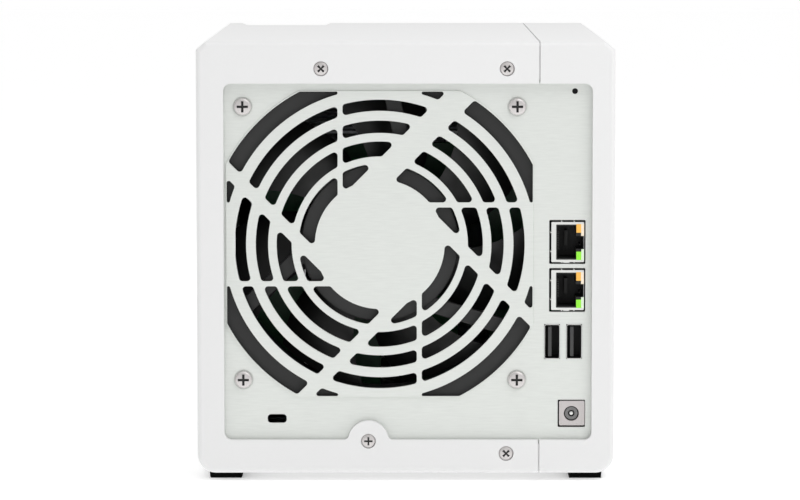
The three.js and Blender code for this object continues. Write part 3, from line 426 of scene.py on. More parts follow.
class Builder:
    """Collects points in millimetres and faces, and makes one mesh object of them."""

    def __init__(self):
        self.points = []
        self.faces = []
        self.painted = {}

    def loop(self, outline, y):
        start = len(self.points)
        self.points += [(x, y, z) for x, z in outline]
        return list(range(start, len(self.points)))

    def raw(self, points):
        start = len(self.points)
        self.points += [tuple(point) for point in points]
        return list(range(start, len(self.points)))

    def strip(self, first, second):
        count = len(first)
        for index in range(count):
            after = (index + 1) % count
            self.faces.append((first[index], first[after], second[after], second[index]))

    def strips(self, loops):
        for first, second in zip(loops, loops[1:]):
            self.strip(first, second)

    def turned(self, middle, profile, steps):
        """Circles of the given (radius, y) steps with strips between them."""
        loops = [self.loop(circle(middle, radius, steps), y) for radius, y in profile]
        self.strips(loops)
        return loops

    def cap(self, outer, holes=()):
        """Fills a flat loop with triangles, leaving the holes open."""
        used, rings = [], []
        for ring in (outer, *holes):
            rings.append(range(len(used), len(used) + len(ring)))
            used += ring
        points = [Vector(self.points[index]) for index in used]
        spans = [max(point[axis] for point in points) - min(point[axis] for point in points)
                 for axis in range(3)]
        across, along = [axis for axis in range(3) if axis != spans.index(min(spans))]
        flat = [Vector((point[across], point[along])) for point in points]
        filled = delaunay_2d_cdt(flat, [], rings, INSIDE_WITH_HOLES, FILL_TOLERANCE)
        triangles, origins = filled[2], filled[3]
        for triangle in triangles:
            self.faces.append(tuple(used[origins[corner][0]] for corner in triangle))

    def prism(self, outline, y0, y1, edge=0.0, steps=2):
        """A closed block between y0 and y1, with the edge round the y1 end rounded."""
        loops = [self.loop(outline, y0)]
        loops += [self.loop(offset(outline, -inset), y1 - drop) for inset, drop in edge_steps(edge, steps)]
        self.strips(loops)
        self.cap(loops[0])
        self.cap(loops[-1])

    def paint(self, slot, first_face):
        """Gives the faces made since first_face another of the piece's materials."""
        for face in range(first_face, len(self.faces)):
            self.painted[face] = slot

    def object(self, name, *materials, smooth_angle=38):
        mesh = bpy.data.meshes.new(name)
        mesh.from_pydata([tuple(c * MM for c in point) for point in self.points], [], self.faces)
        for face, slot in self.painted.items():
            mesh.polygons[face].material_index = slot
        work = bmesh.new()
        work.from_mesh(mesh)
        bmesh.ops.remove_doubles(work, verts=work.verts, dist=MERGE_DISTANCE)
        bmesh.ops.recalc_face_normals(work, faces=work.faces)
        work.to_mesh(mesh)
        work.free()
        mesh.shade_smooth()
        mesh.set_sharp_from_angle(angle=math.radians(smooth_angle))
        piece = bpy.data.objects.new(name, mesh)
        bpy.context.scene.collection.objects.link(piece)
        for material in materials:
            piece.data.materials.append(material)
        return piece


def edge_steps(width, steps):
    """(inset, drop) pairs of a rounded edge, from the wall up to the face."""
    if not width:
        return [(0, 0)]
    turns = [math.pi / 2 * step / steps for step in range(steps + 1)]
    return [(width * (1 - math.cos(turn)), width * (1 - math.sin(turn))) for turn in turns]


def place(piece, body, slot, *nodes):
    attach(piece, body)
    if nodes:
        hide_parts(*nodes)
    return piece


def carve(piece, *cutters):
    """Cuts closed meshes out of a piece and keeps the result as the piece's own mesh."""
    for cutter in cutters:
        modifier = piece.modifiers.new("carve", "BOOLEAN")
        modifier.operation = "DIFFERENCE"
        modifier.solver = "EXACT"
        modifier.object = cutter
    evaluated = piece.evaluated_get(bpy.context.evaluated_depsgraph_get())
    settled = bpy.data.meshes.new_from_object(evaluated)
    piece.modifiers.clear()
    piece.data = settled
    for cutter in cutters:
        bpy.data.objects.remove(cutter)
    return piece


def block(name, outline, y0, y1):
    """A plain closed block, to cut with."""
    builder = Builder()
    builder.prism(outline, y0, y1)
    return builder.object(name, NYLON)


def bevel(piece, width, angle=38, segments=2):
    modifier = piece.modifiers.new("edges", "BEVEL")
    modifier.width = width * MM
    modifier.segments = segments
    modifier.limit_method = "ANGLE"
    modifier.angle_limit = math.radians(angle)
    modifier.use_clamp_overlap = True
    weighted = piece.modifiers.new("normals", "WEIGHTED_NORMAL")
    weighted.keep_sharp = False
    return piece


def finish_cad(node, material, width=0.3):
    """Gives a CAD node that stays its material and softened edges."""
    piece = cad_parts[node]
    piece.data.materials.clear()
    piece.data.materials.append(material)
    weld = piece.modifiers.new("weld", "WELD")
    weld.merge_threshold = MERGE_DISTANCE
    flatten = piece.modifiers.new("flatten", "DECIMATE")
    flatten.decimate_type = "DISSOLVE"
    flatten.angle_limit = math.radians(1)
    if width:
        bevel(piece, width)


# -------------------- camera, light and floor

CAMERA_LENS = 174.55
CAMERA_SHIFT = -0.007
CAMERA_BEHIND, CAMERA_ABOVE = 1476.9, 56
CAMERA_TILT = 5.246

BRIGHT_SIDE = (0.02, -0.33, 0.15)
ROOM_DIM, ROOM_BRIGHT = 0.485, 1.125
FLOOR_GLOW = 0.3


def add_camera():
    """The camera stands behind the case, a little above it, and looks slightly down."""
    data = bpy.data.cameras.new("camera")
    data.sensor_width = 36
    data.lens = CAMERA_LENS
    data.shift_x = CAMERA_SHIFT
    camera = bpy.data.objects.new("camera", data)
    camera.location = (0, (REAR + CAMERA_BEHIND) * MM, (TOP + CAMERA_ABOVE) * MM)
    camera.rotation_euler = (math.radians(90 - CAMERA_TILT), 0, math.pi)
    bpy.context.scene.collection.objects.link(camera)
    bpy.context.scene.camera = camera


def add_light(name, location, size, power, target=(0, 0, 0.08)):
    """A square light, in metres and watts, that faces the middle of the case."""
    data = bpy.data.lights.new(name, "AREA")
    data.size = size
    data.energy = power
    light = bpy.data.objects.new(name, data)
    light.location = location
    direction = Vector(target) - Vector(location)
    light.rotation_euler = direction.to_track_quat("-Z", "Y").to_euler()
    bpy.context.scene.collection.objects.link(light)


def add_world():
    """A white backdrop, and softer light that grows towards one side of the room."""
    world = bpy.data.worlds.new("studio")
    world.use_nodes = True
    nodes, links = world.node_tree.nodes, world.node_tree.links
    backdrop = nodes["Background"]
    backdrop.inputs["Color"].default_value = (1, 1, 1, 1)
    direction = nodes.new("ShaderNodeTexCoord")
    towards = nodes.new("ShaderNodeVectorMath")
    towards.operation = "DOT_PRODUCT"
    towards.inputs[1].default_value = Vector(BRIGHT_SIDE).normalized()
    strength = nodes.new("ShaderNodeMapRange")
    strength.inputs["From Min"].default_value = -1
    strength.inputs["From Max"].default_value = 1
    strength.inputs["To Min"].default_value = ROOM_DIM
    strength.inputs["To Max"].default_value = ROOM_BRIGHT
    room = nodes.new("ShaderNodeBackground")
    path = nodes.new("ShaderNodeLightPath")
    mix = nodes.new("ShaderNodeMixShader")
    links.new(direction.outputs["Generated"], towards.inputs[0])
    links.new(towards.outputs["Value"], strength.inputs["Value"])
    links.new(strength.outputs["Result"], room.inputs["Strength"])
    links.new(path.outputs["Is Camera Ray"], mix.inputs["Fac"])
    links.new(room.outputs["Background"], mix.inputs[1])
    links.new(backdrop.outputs["Background"], mix.inputs[2])
    links.new(mix.outputs["Shader"], nodes["World Output"].inputs["Surface"])
    bpy.context.scene.world = world
    bpy.context.scene.view_settings.view_transform = "Standard"


def add_floor():
    builder = Builder()
    half = 6000
    corners = [(-half, -half, 0), (half, -half, 0), (half, half, 0), (-half, half, 0)]
    builder.faces.append(tuple(builder.raw(corners)))
    white = finish("floor", gray(250), 0.8, grain=3, spread=0.003,
                   Emission_Color=gray(255), Emission_Strength=FLOOR_GLOW)
    builder.object("floor", white)


add_camera()
add_world()
add_floor()
add_light("key", (-0.5, 0.7, 0.9), 0.6, 3.55)
add_light("fill", (0, 0.3, 1.1), 0.6, 1.35)

# -------------------- covers


def build_covers():
    builder = Builder()
    flange_front = REAR - FLANGE
    outer = [builder.loop(case_outline(inset), REAR - drop) for inset, drop in edge_steps(REAR_FILLET, 7)]
    inner_wall = [builder.loop(case_outline(WALL), y) for y in (COVER_FRONT, flange_front)]
    front = builder.loop(case_outline(0), COVER_FRONT)
    window = [builder.loop(window_outline(WINDOW_FILLET - inset), REAR - drop)
              for inset, drop in reversed(edge_steps(WINDOW_FILLET, 6))]
    window.append(builder.loop(window_outline(0), flange_front))
    builder.strips([front, *outer])
    builder.strip(front, inner_wall[0])
    builder.strips(inner_wall)
    builder.strips(window)
    seats, floors = [], []
    for node in (*COVER_SCREWS, "tab_screw"):
        middle = node_middle(node)
        seat_floor = node_box(node)[1].y - SEAT_DEPTH
        profile = [(radius, REAR - depth) for radius, depth in SEAT_MOUTH]
        profile += [(SEAT_RADIUS, seat_floor), (SEAT_HOLE, seat_floor), (SEAT_HOLE, flange_front)]
        loops = builder.turned(middle, profile, 28)
        seats.append(loops[0])
        floors.append(loops[-1])
    builder.cap(outer[-1], [window[0], *seats])
    builder.cap(inner_wall[-1], [window[-1], *floors])
    shell = builder.object("cover_shell", LACQUER)

    recess = [(NAMEPLATE_LEFT + NAMEPLATE_SLOPE, TOP - NAMEPLATE_DEPTH),
              (NAMEPLATE_RIGHT - NAMEPLATE_SLOPE, TOP - NAMEPLATE_DEPTH),
              (NAMEPLATE_RIGHT + NAMEPLATE_SLOPE, TOP + NAMEPLATE_DEPTH),
              (NAMEPLATE_LEFT - NAMEPLATE_SLOPE, TOP + NAMEPLATE_DEPTH)]
    carve(shell, block("recess", recess, FRONT - 5, FRONT + NAMEPLATE_LENGTH))
    main = split_cover(shell, "main_cover_shell", SEAM_X + SEAM_WIDTH / 2, 1)
    side = split_cover(shell, "side_cover_shell", SEAM_X - SEAM_WIDTH / 2, -1)
    bpy.data.objects.remove(shell)
    place(main, CHASSIS, "cover_white", "main_cover")
    place(side, CHASSIS, "cover_white", "side_cover")


def build_seam_lips():
    """The lips inside the seam: a band along the roof and one along the floor, each turned down
    over the rear edge, a little below the outside."""
    builder = Builder()
    half = SEAM_WIDTH / 2 - SEAM_CLEARANCE
    bend_radius = REAR_FILLET - SEAM_DEPTH
    for outside, window, up in ((TOP, WINDOW_TOP, 1), (CASE_BOTTOM, WINDOW_BOTTOM, -1)):
        skin = outside - up * SEAM_DEPTH
        inside = outside - up * WALL
        corner = arc((REAR - REAR_FILLET, outside - up * REAR_FILLET), bend_radius, up * 90, 0, 4)
        end = window + up * (WINDOW_FILLET + LIP_OVERLAP)
        profile = [(COVER_FRONT + 1, inside), (COVER_FRONT + 1, skin), *corner,
                   (REAR - SEAM_DEPTH, end), (REAR - FLANGE, end), (REAR - FLANGE, inside)]
        sides = [builder.raw((x, y, z) for y, z in profile) for x in (SEAM_X - half, SEAM_X + half)]
        builder.strip(*sides)
        builder.cap(sides[0])
        builder.cap(sides[1])
    place(builder.object("seam_lips", LACQUER), CHASSIS, "cover_white")


def split_cover(shell, name, x, side):
    """One of the two covers: the part of the shell on that side of a plane, closed along the cut."""
    mesh = shell.data.copy()
    work = bmesh.new()
    work.from_mesh(mesh)
    bmesh.ops.remove_doubles(work, verts=work.verts, dist=MERGE_DISTANCE)
    bmesh.ops.bisect_plane(
        work, geom=work.verts[:] + work.edges[:] + work.faces[:], dist=1e-7,
        plane_co=(x * MM, 0, 0), plane_no=(side, 0, 0), clear_inner=True,
    )
    rim = [edge for edge in work.edges if edge.is_boundary]
    bmesh.ops.holes_fill(work, edges=rim, sides=0)
    bmesh.ops.recalc_face_normals(work, faces=work.faces)
    work.to_mesh(mesh)
    work.free()
    mesh.shade_smooth()
    piece = bpy.data.objects.new(name, mesh)
    bpy.context.scene.collection.objects.link(piece)
    return bevel(piece, 0.3)


build_covers()
build_seam_lips()

# -------------------- rear plate


def zone_outline(grow):
    """The raised zone: a circle cut by a square, with a point count that doesn't depend on grow."""
    radius, half = ZONE_RADIUS + grow, ZONE_HALF + grow
    meet = math.degrees(math.acos(half / radius))
    points = []
    for quarter in range(4):
        start = quarter * 90 + meet
        points += arc((0, 0), radius, start, start + 90 - 2 * meet, 16)
    return around_grille(points)


def around_grille(outline):
    return [(x + GRILLE_CENTRE[0], z + GRILLE_CENTRE[1]) for x, z in outline]


def grille_slots():
    """Every slot outline, from the rings, the spokes and the square that ends the outer ring."""
    slots = []
    for inner, outer in RINGS:
        for quarter, width in enumerate(SLANTED_WIDTHS):
            upright = quarter * 90
            pairs = [
                (upright, UPRIGHT_WIDTH - UPRIGHT_EDGE, upright + 45, -SLANTED_EDGE),
                (upright + 45, width - SLANTED_EDGE, upright + 90, -UPRIGHT_EDGE),
            ]
            slots += [slot_outline(inner, outer, *pair) for pair in pairs]
    return [around_grille(slot) for slot in slots]


def slot_outline(inner, outer, first, first_shift, second, second_shift):
    """The part of a ring to the left of one spoke's edge and to the right of the next one's."""
    ring_steps = max(10, int(outer))
    start = first - 60
    end = second + 20
    outline = arc((0, 0), outer, start, end, ring_steps) + arc((0, 0), inner, end, start, ring_steps)
    for angle, shift, sign in ((first, first_shift, 1), (second, second_shift, -1)):
        turn = math.radians(angle)
        left = (-math.sin(turn), math.cos(turn))
        outline = clip(outline, (-sign * left[0], -sign * left[1]), -sign * shift)
    half = ZONE_HALF - SLOT_INSET
    for normal in ((1, 0), (0, 1), (-1, 0), (0, -1)):
        outline = clip(outline, normal, half)
    if inner > half:
        upright = math.radians(90 * (first // 90))
        reach = math.sqrt(inner ** 2 - half ** 2)
        outline = clip(outline, (math.sin(upright), -math.cos(upright)), -reach)
        outline = clip(outline, (-math.cos(upright), -math.sin(upright)), -reach)
    return soften(tidy(outline), SLOT_CORNER)


def tidy(outline):
    """Drops points that lie on top of the one before."""
    kept = []
    for index, point in enumerate(outline):
        if (Vector(point) - Vector(outline[index - 1])).length > 0.01:
            kept.append(point)
    return kept


# (margin round the port, corner radius) of each port's hole in the plate
PORT_HOLES = {
    "lan_jack_1": (0.24, 0.4), "lan_jack_2": (0.24, 0.4), "dc_jack": (0.38, 0.4),
    "rear_usb_port_1": (0.26, 0.15), "rear_usb_port_2": (0.26, 0.15),
}


def build_rear_plate():
    builder = Builder()
    outline = rounded(PLATE_LOW.x, PLATE_HIGH.x, PLATE_LOW.z, PLATE_HIGH.z, PLATE_CORNER)
    rear_rings, front_rings = [], []

    def hole(shape, edge):
        loops = [builder.loop(offset(shape, edge - inset), PLATE_REAR - drop)
                 for inset, drop in reversed(edge_steps(edge, 2))]
        loops.append(builder.loop(shape, PLATE_FRONT))
        builder.strips(loops)
        rear_rings.append(loops[0])
        front_rings.append(loops[-1])

    for node, (margin, corner) in PORT_HOLES.items():
        low, high = node_box(node)
        sides = (low.x - margin, high.x + margin, low.z - margin, high.z + margin)
        hole(rounded(*sides, corner, steps=3), 0.1)
    hole(circle(node_middle("reset_button"), RESET_HOLE, 24), 0.15)
    half_width, half_height = LOCK_SLOT["width"] / 2, LOCK_SLOT["height"] / 2
    x, z = LOCK_SLOT["x"], LOCK_SLOT["z"]
    sides = (x - half_width, x + half_width, z - half_height, z + half_height)
    hole(rounded(*sides, LOCK_SLOT["corner"], steps=5), 0.35)
    for node in FAN_SCREWS:
        middle = node_middle(node)
        profile = [(radius, PLATE_REAR + height) for radius, height in FAN_SEAT]
        loops = builder.turned(middle, profile, 32)
        rear_rings.append(loops[0])
        front_rings.append(loops[-1])

    turns = [step / 6 for step in range(7)]
    heights = [EMBOSS * (1 - math.cos(math.pi * turn)) / 2 for turn in turns]
    for y, rings in ((PLATE_REAR, rear_rings), (PLATE_FRONT, front_rings)):
        loops = [builder.loop(zone_outline(ZONE_RAMP * (1 - turn)), y + height)
                 for turn, height in zip(turns, heights)]
        builder.strips(loops)
        edge = builder.loop(outline, y)
        builder.cap(edge, [loops[0], *rings])
        if rings is rear_rings:
            rear_edge, rear_zone = edge, loops[-1]
        else:
            builder.strip(rear_edge, edge)
            front_zone = loops[-1]
    rear_slots, front_slots = [], []
    for slot in grille_slots():
        loops = [builder.loop(offset(slot, SLOT_EDGE - inset), PLATE_REAR + EMBOSS - drop)
                 for inset, drop in reversed(edge_steps(SLOT_EDGE, 2))]
        loops.append(builder.loop(slot, PLATE_FRONT + EMBOSS))
        builder.strips(loops)
        rear_slots.append(loops[0])
        front_slots.append(loops[-1])
    builder.cap(rear_zone, rear_slots)
    builder.cap(front_zone, front_slots)
    plate = builder.object("rear_plate_sheet", BRUSHED)
    plate.modifiers.new("normals", "WEIGHTED_NORMAL").keep_sharp = True
    place(plate, CHASSIS, "plate_metal", "rear_plate")


build_rear_plate()

# -------------------- screws


def cross_outline(middle, arm, half_width, flare, turn):
    """A cross of four arms. With a flare over 1, each arm is wider at its end."""
    outline = []
    for quarter in range(4):
        angle = math.radians(turn + 90 * quarter)
        along = Vector((math.cos(angle), math.sin(angle)))
        across = Vector((-math.sin(angle), math.cos(angle)))
        for reach, side in ((arm, -flare), (arm, flare), (half_width, 1)):
            point = along * reach + across * half_width * side
            outline.append((middle[0] + point.x, middle[1] + point.y))
    return outline


def build_screw(node, head_radius, head_height, arm, half_width, flare, turn):
    """A domed head on a plain shank, with a tapering cross recess in it whose walls and floor are painted
    dark as painted shade.
    """
    low, high = node_box(node)
    top = high.y
    seat = top - head_height
    middle = node_middle(node)
    shank = 0.4 * head_radius
    flat = arm + 0.25
    crown = head_radius - flat
    builder = Builder()
    profile = [(shank, low.y), (shank, seat), (head_radius, seat)]
    for step in range(7):
        angle = math.pi / 12 * step
        radius = head_radius - crown * (1 - math.cos(angle))
        profile.append((radius, seat + head_height * (0.3 + 0.62 * math.sin(angle))))
    loops = builder.turned(middle, profile, 40)
    builder.cap(loops[0])
    mouth = builder.loop(cross_outline(middle, arm, half_width, flare, turn), top - 0.04 * head_height)
    builder.cap(loops[-1], [mouth])
    recess = len(builder.faces)
    end = cross_outline(middle, 0.85 * arm, 0.8 * half_width, flare, turn)
    floor = builder.loop(end, top - 0.75 * head_height)
    builder.strip(mouth, floor)
    builder.cap(floor)
    # The recess walls and floor take the dark second material: painted shade.
    builder.paint(1, recess)
    piece = builder.object(node + "_body", NICKEL, RECESS_SHADE, smooth_angle=45)
    place(piece, CHASSIS, "screw_steel", node)


for screw in COVER_SCREWS:
    build_screw(screw, head_radius=2.75, head_height=1.2, arm=1.6, half_width=0.3, flare=1.5, turn=45)
build_screw("tab_screw", head_radius=2.75, head_height=1.2, arm=1.6, half_width=0.32, flare=1.1, turn=0)
for screw in FAN_SCREWS:
    build_screw(screw, head_radius=3.3, head_height=1.6, arm=2.15, half_width=0.46, flare=1.0, turn=0)

# -------------------- fan

FAN_HALF = (node_box("fan_frame")[1].x - node_box("fan_frame")[0].x) / 2
FAN_BORE = 57.5
FAN_WALL = 1.8
FAN_MOUTH = 0.9
FAN_FLANGE = 4
FAN_RIM = 0.4
FAN_SCREW_HOLE = 2.3
MOUNT_RADIUS = 30.2
MOUNT_THICKNESS = 4
STUB_RADIUS, STUB_LENGTH = 5, 12
STRUT_ANGLES = (236, 116, -4)
STRUT_LEAN = -22
STRUT_HALF_WIDTH = 3
HUB_RADIUS = 28.5
BLADE_RADIUS = 56.3
BLADE_COUNT = 7
BLADE_SWEEP, BLADE_SPAN, BLADE_NARROWING = 14, 20, 2
BLADE_CAMBER, BLADE_THICKNESS = 1.6, 0.8
BLADE_ROWS, BLADE_COLUMNS = 8, 12


def around_fan(outline):
    return [(x + FAN_CENTRE.x, z + FAN_CENTRE.z) for x, z in outline]


def build_fan_frame():
    builder = Builder()
    square = around_fan(rounded(-FAN_HALF, FAN_HALF, -FAN_HALF, FAN_HALF, 5))
    waist = around_fan(circle((0, 0), FAN_BORE + FAN_WALL, 96))
    bore = around_fan(circle((0, 0), FAN_BORE, 96))
    mouth = around_fan(circle((0, 0), FAN_BORE + FAN_MOUTH, 96))
    screws = [node_middle(node) for node in FAN_SCREWS]

    def flange(y0, y1):
        rims, holes = [], []
        for y, inset in ((y0, FAN_RIM), (y0 + FAN_RIM, 0), (y1 - FAN_RIM, 0), (y1, FAN_RIM)):
            rims.append(builder.loop(offset(square, -inset), y))
        for y in (y0, y1):
            holes.append([builder.loop(circle(screw, FAN_SCREW_HOLE, 20), y) for screw in screws])
        builder.strips(rims)
        for first, second in zip(*holes):
            builder.strip(first, second)
        return rims, holes

    front_rims, front_holes = flange(FAN_FRONT, FAN_FRONT + FAN_FLANGE)
    rear_rims, rear_holes = flange(FAN_REAR - FAN_FLANGE, FAN_REAR)
    bore_loops = [builder.loop(mouth, FAN_FRONT), builder.loop(bore, FAN_FRONT + FAN_MOUTH),
                  builder.loop(bore, FAN_REAR - FAN_MOUTH), builder.loop(mouth, FAN_REAR)]
    waist_loops = [builder.loop(waist, FAN_FRONT + FAN_FLANGE), builder.loop(waist, FAN_REAR - FAN_FLANGE)]
    builder.strips(bore_loops)
    builder.strips(waist_loops)
    builder.cap(front_rims[0], [bore_loops[0], *front_holes[0]])
    builder.cap(front_rims[-1], [waist_loops[0], *front_holes[1]])
    builder.cap(rear_rims[0], [waist_loops[1], *rear_holes[0]])
    builder.cap(rear_rims[-1], [bore_loops[-1], *rear_holes[1]])
    place(builder.object("fan_housing", FAN_PLASTIC), CHASSIS, "fan_plastic", "fan_frame")

    builder = Builder()
    mount_front = FAN_REAR - MOUNT_THICKNESS
    builder.prism(around_fan(circle((0, 0), MOUNT_RADIUS, 72)), mount_front, FAN_REAR - 0.05, 0.5, 3)
    builder.prism(around_fan(circle((0, 0), STUB_RADIUS, 32)), mount_front - STUB_LENGTH, mount_front)
    for angle in STRUT_ANGLES:
        start, end = math.radians(angle), math.radians(angle + STRUT_LEAN)
        inner = Vector((math.cos(start), math.sin(start))) * (MOUNT_RADIUS - 3)
        outer = Vector((math.cos(end), math.sin(end))) * (FAN_BORE + 1.2)
        side = (outer - inner).normalized()
        side = Vector((-side.y, side.x)) * STRUT_HALF_WIDTH
        strut = [inner - side, outer - side, outer + side, inner + side]
        builder.prism(around_fan([(p.x, p.y) for p in strut]), mount_front, FAN_REAR - 0.4, 0.5, 3)
    place(builder.object("fan_motor_mount", FAN_PLASTIC), CHASSIS, "fan_plastic")


def build_fan_rotor():
    """The hub, a cup open to the rear, and its blades."""
    hub_front = node_box("fan_rotor")[0].y
    hub_rear = FAN_REAR - MOUNT_THICKNESS - 1.2
    builder = Builder()
    profile = [(0.2, hub_front), (HUB_RADIUS - 2, hub_front), (HUB_RADIUS - 0.6, hub_front + 0.6),
               (HUB_RADIUS, hub_front + 2), (HUB_RADIUS, hub_rear), (HUB_RADIUS - 1.8, hub_rear),
               (HUB_RADIUS - 1.8, hub_front + 1.8), (0.2, hub_front + 1.8)]
    loops = builder.turned(node_middle("fan_frame"), profile, 72)
    builder.cap(loops[0])
    builder.cap(loops[-1])
    middle = (hub_front + hub_rear) / 2
    depth = (hub_rear - hub_front) - 4
    for number in range(BLADE_COUNT):
        turn = number * 2 * math.pi / BLADE_COUNT
        sheets = []
        for side in (-1, 1):
            rows = []
            for i in range(BLADE_ROWS + 1):
                part = i / BLADE_ROWS
                radius = HUB_RADIUS - 0.8 + (BLADE_RADIUS - HUB_RADIUS + 0.8) * part
                sweep = -math.radians(BLADE_SWEEP) * part ** 1.4
                half_span = math.radians(BLADE_SPAN - BLADE_NARROWING * part)
                row = []
                for j in range(BLADE_COLUMNS + 1):
                    along = j / BLADE_COLUMNS * 2 - 1
                    angle = turn + sweep - along * half_span
                    camber = BLADE_CAMBER * (1 - along ** 2)
                    thickness = BLADE_THICKNESS * (1 - 0.75 * abs(along) ** 3)
                    y = middle + along * depth / 2 + camber + side * thickness
                    row.append((FAN_CENTRE.x + radius * math.cos(angle), y,
                                FAN_CENTRE.z + radius * math.sin(angle)))
                rows.append(builder.raw(row))
            sheets.append(rows)
        for rows in sheets:
            for first, second in zip(rows, rows[1:]):
                for j in range(BLADE_COLUMNS):
                    builder.faces.append((first[j], first[j + 1], second[j + 1], second[j]))
        under, over = sheets
        for j in range(BLADE_COLUMNS):
            for i in (0, BLADE_ROWS):
                builder.faces.append((under[i][j], under[i][j + 1], over[i][j + 1], over[i][j]))
        for i in range(BLADE_ROWS):
            for j in (0, BLADE_COLUMNS):
                builder.faces.append((under[i][j], under[i + 1][j], over[i + 1][j], over[i][j]))
    place(builder.object("fan_blades", BLADE_PLASTIC), "fan", "rotor_plastic", "fan_rotor")


build_fan_frame()
build_fan_rotor()

# -------------------- ports


class Port:
    """Places sizes given from a port's own middle: u to the right and v up as seen from outside."""

    def __init__(self, node, facing=1):
        self.node = node
        self.facing = facing
        low, high = node_box(node)
        self.x, self.z = (low.x + high.x) / 2, (low.z + high.z) / 2
        self.face = high.y if facing > 0 else low.y
        self.depth = high.y - low.y

    def outline(self, points):
        return [(self.x - self.facing * u, self.z + v) for u, v in points]

    def at(self, depth):
        return self.face - self.facing * depth

    def tube(self, builder, outer, inner, depth, start=0.0, floor=None, painted_shade_outside=False):
        """A wall between two outlines that is closed at its mouth and, with floor, at its far end. With
        the outside flag set, the outer wall takes the piece's second material, black, as painted shade in
        the gap round the port.
        """
        mouth = [builder.loop(self.outline(outline), self.at(start)) for outline in (outer, inner)]
        end = [builder.loop(self.outline(outline), self.at(depth)) for outline in (outer, inner)]
        builder.cap(mouth[0], [mouth[1]])
        builder.strip(mouth[1], end[1])
        outside = len(builder.faces)
        builder.strip(mouth[0], end[0])
        # The outer wall shows only through the gap round the port; painting it black is painted shade in
        # that gap.
        if painted_shade_outside:
            builder.paint(1, outside)
        if floor is None:
            builder.cap(end[0], [end[1]])
            return
        back = builder.loop(self.outline(outer), self.at(floor))
        builder.strip(end[0], back)
        builder.cap(end[1])
        builder.cap(back)

    def bar(self, builder, box, start, depth):
        u0, u1, v0, v1 = box
        builder.prism(self.outline(rectangle(u0, u1, v0, v1)), self.at(depth), self.at(start))


LAN_SHIELD = (-6.15, 6.38, -7.7, 7.7)
LAN_MOUTH = (-4.3, 6.3, -6.8, 6.75)
LAN_CAVITY = [(-3.9, -6.3), (3.3, -6.3), (3.3, -2.7), (6.1, -2.7),
              (6.1, 2.3), (3.3, 2.3), (3.3, 6.2), (-3.9, 6.2)]
LAN_FINGER = 0.4
LAN_TEETH = 8
LAN_PITCH = 0.9
# Each light: the lens box, then the box of the strip beside it that carries a painted highlight.
LAN_LIGHTS = [
    ((3.42, 5.25, 3.6, 6.9), (5.25, 6.4, 2.35, 6.9)),
    ((3.42, 5.35, -6.9, -3.7), (5.35, 6.4, -6.9, -2.75)),
]


def build_lan_jack(number):
    """A shielded network socket on its side, its latch notch and its two lights to the right."""
    port = Port(f"lan_jack_{number}")
    builder = Builder()
    u0, u1, v0, v1 = LAN_SHIELD
    outside, mouth = rounded(*LAN_SHIELD, 0.35, steps=3), rounded(*LAN_MOUTH, 0.2, steps=2)
    # The shield's outer wall is painted black: painted shade in the gap between shield and plate.
    port.tube(builder, outside, mouth, port.depth, painted_shade_outside=True)
    for part in (0.32, 0.7):
        middle = u0 + (u1 - u0) * part
        for edge, out in ((v1 - 0.2, v1 + 0.42), (v0 - 0.42, v0 + 0.2)):
            port.bar(builder, (middle - LAN_FINGER / 2, middle + LAN_FINGER / 2, edge, out), 0.35, 6)
    for part in (0.26, 0.735):
        middle = v0 + (v1 - v0) * part
        port.bar(builder, (u0 - 0.42, u0 + 0.2, middle - LAN_FINGER / 2, middle + LAN_FINGER / 2), 0.35, 6)
    port.bar(builder, (-1.5, 0.8, v0 - 0.35, v0 + 0.2), 0.3, 6)
    place(builder.object(f"lan_shield_{number}", TIN, NYLON), CHASSIS, "port_shield", port.node)

    builder = Builder()
    port.tube(builder, rectangle(*LAN_MOUTH), LAN_CAVITY, 13, start=0.35, floor=14)
    port.bar(builder, (-0.8, 0.4, -2.25, 3.7), 9, 12.9)
    port.bar(builder, (4.7, 5.1, -1.5, -1.1), 4, 12.9)
    place(builder.object(f"lan_housing_{number}", NYLON), CHASSIS, "connector_black")

    builder = Builder()
    for tooth in range(LAN_TEETH):
        middle = 0.5 + (tooth - (LAN_TEETH - 1) / 2) * LAN_PITCH
        port.bar(builder, (-3.85, -3.1, middle - 0.2, middle + 0.2), 2.2, 11)
    place(builder.object(f"lan_contacts_{number}", CONTACT), CHASSIS, "port_shield")

    # Each light's strip beside the lens takes the pale second material, a painted highlight.
    for colour, lens, side, (front_box, highlight_box) in (
        ("amber", AMBER, AMBER_HIGHLIGHT, LAN_LIGHTS[0]), ("green", GREEN, GREEN_HIGHLIGHT, LAN_LIGHTS[1]),
    ):
        builder = Builder()
        port.bar(builder, front_box, -0.05, 3)
        highlight_faces = len(builder.faces)
        port.bar(builder, highlight_box, -0.05, 3)
        builder.paint(1, highlight_faces)
        place(builder.object(f"lan_{colour}_light_{number}", lens, side), CHASSIS, "lens_clear")


USB_WALL = 0.18
USB_SHELL = 0.5


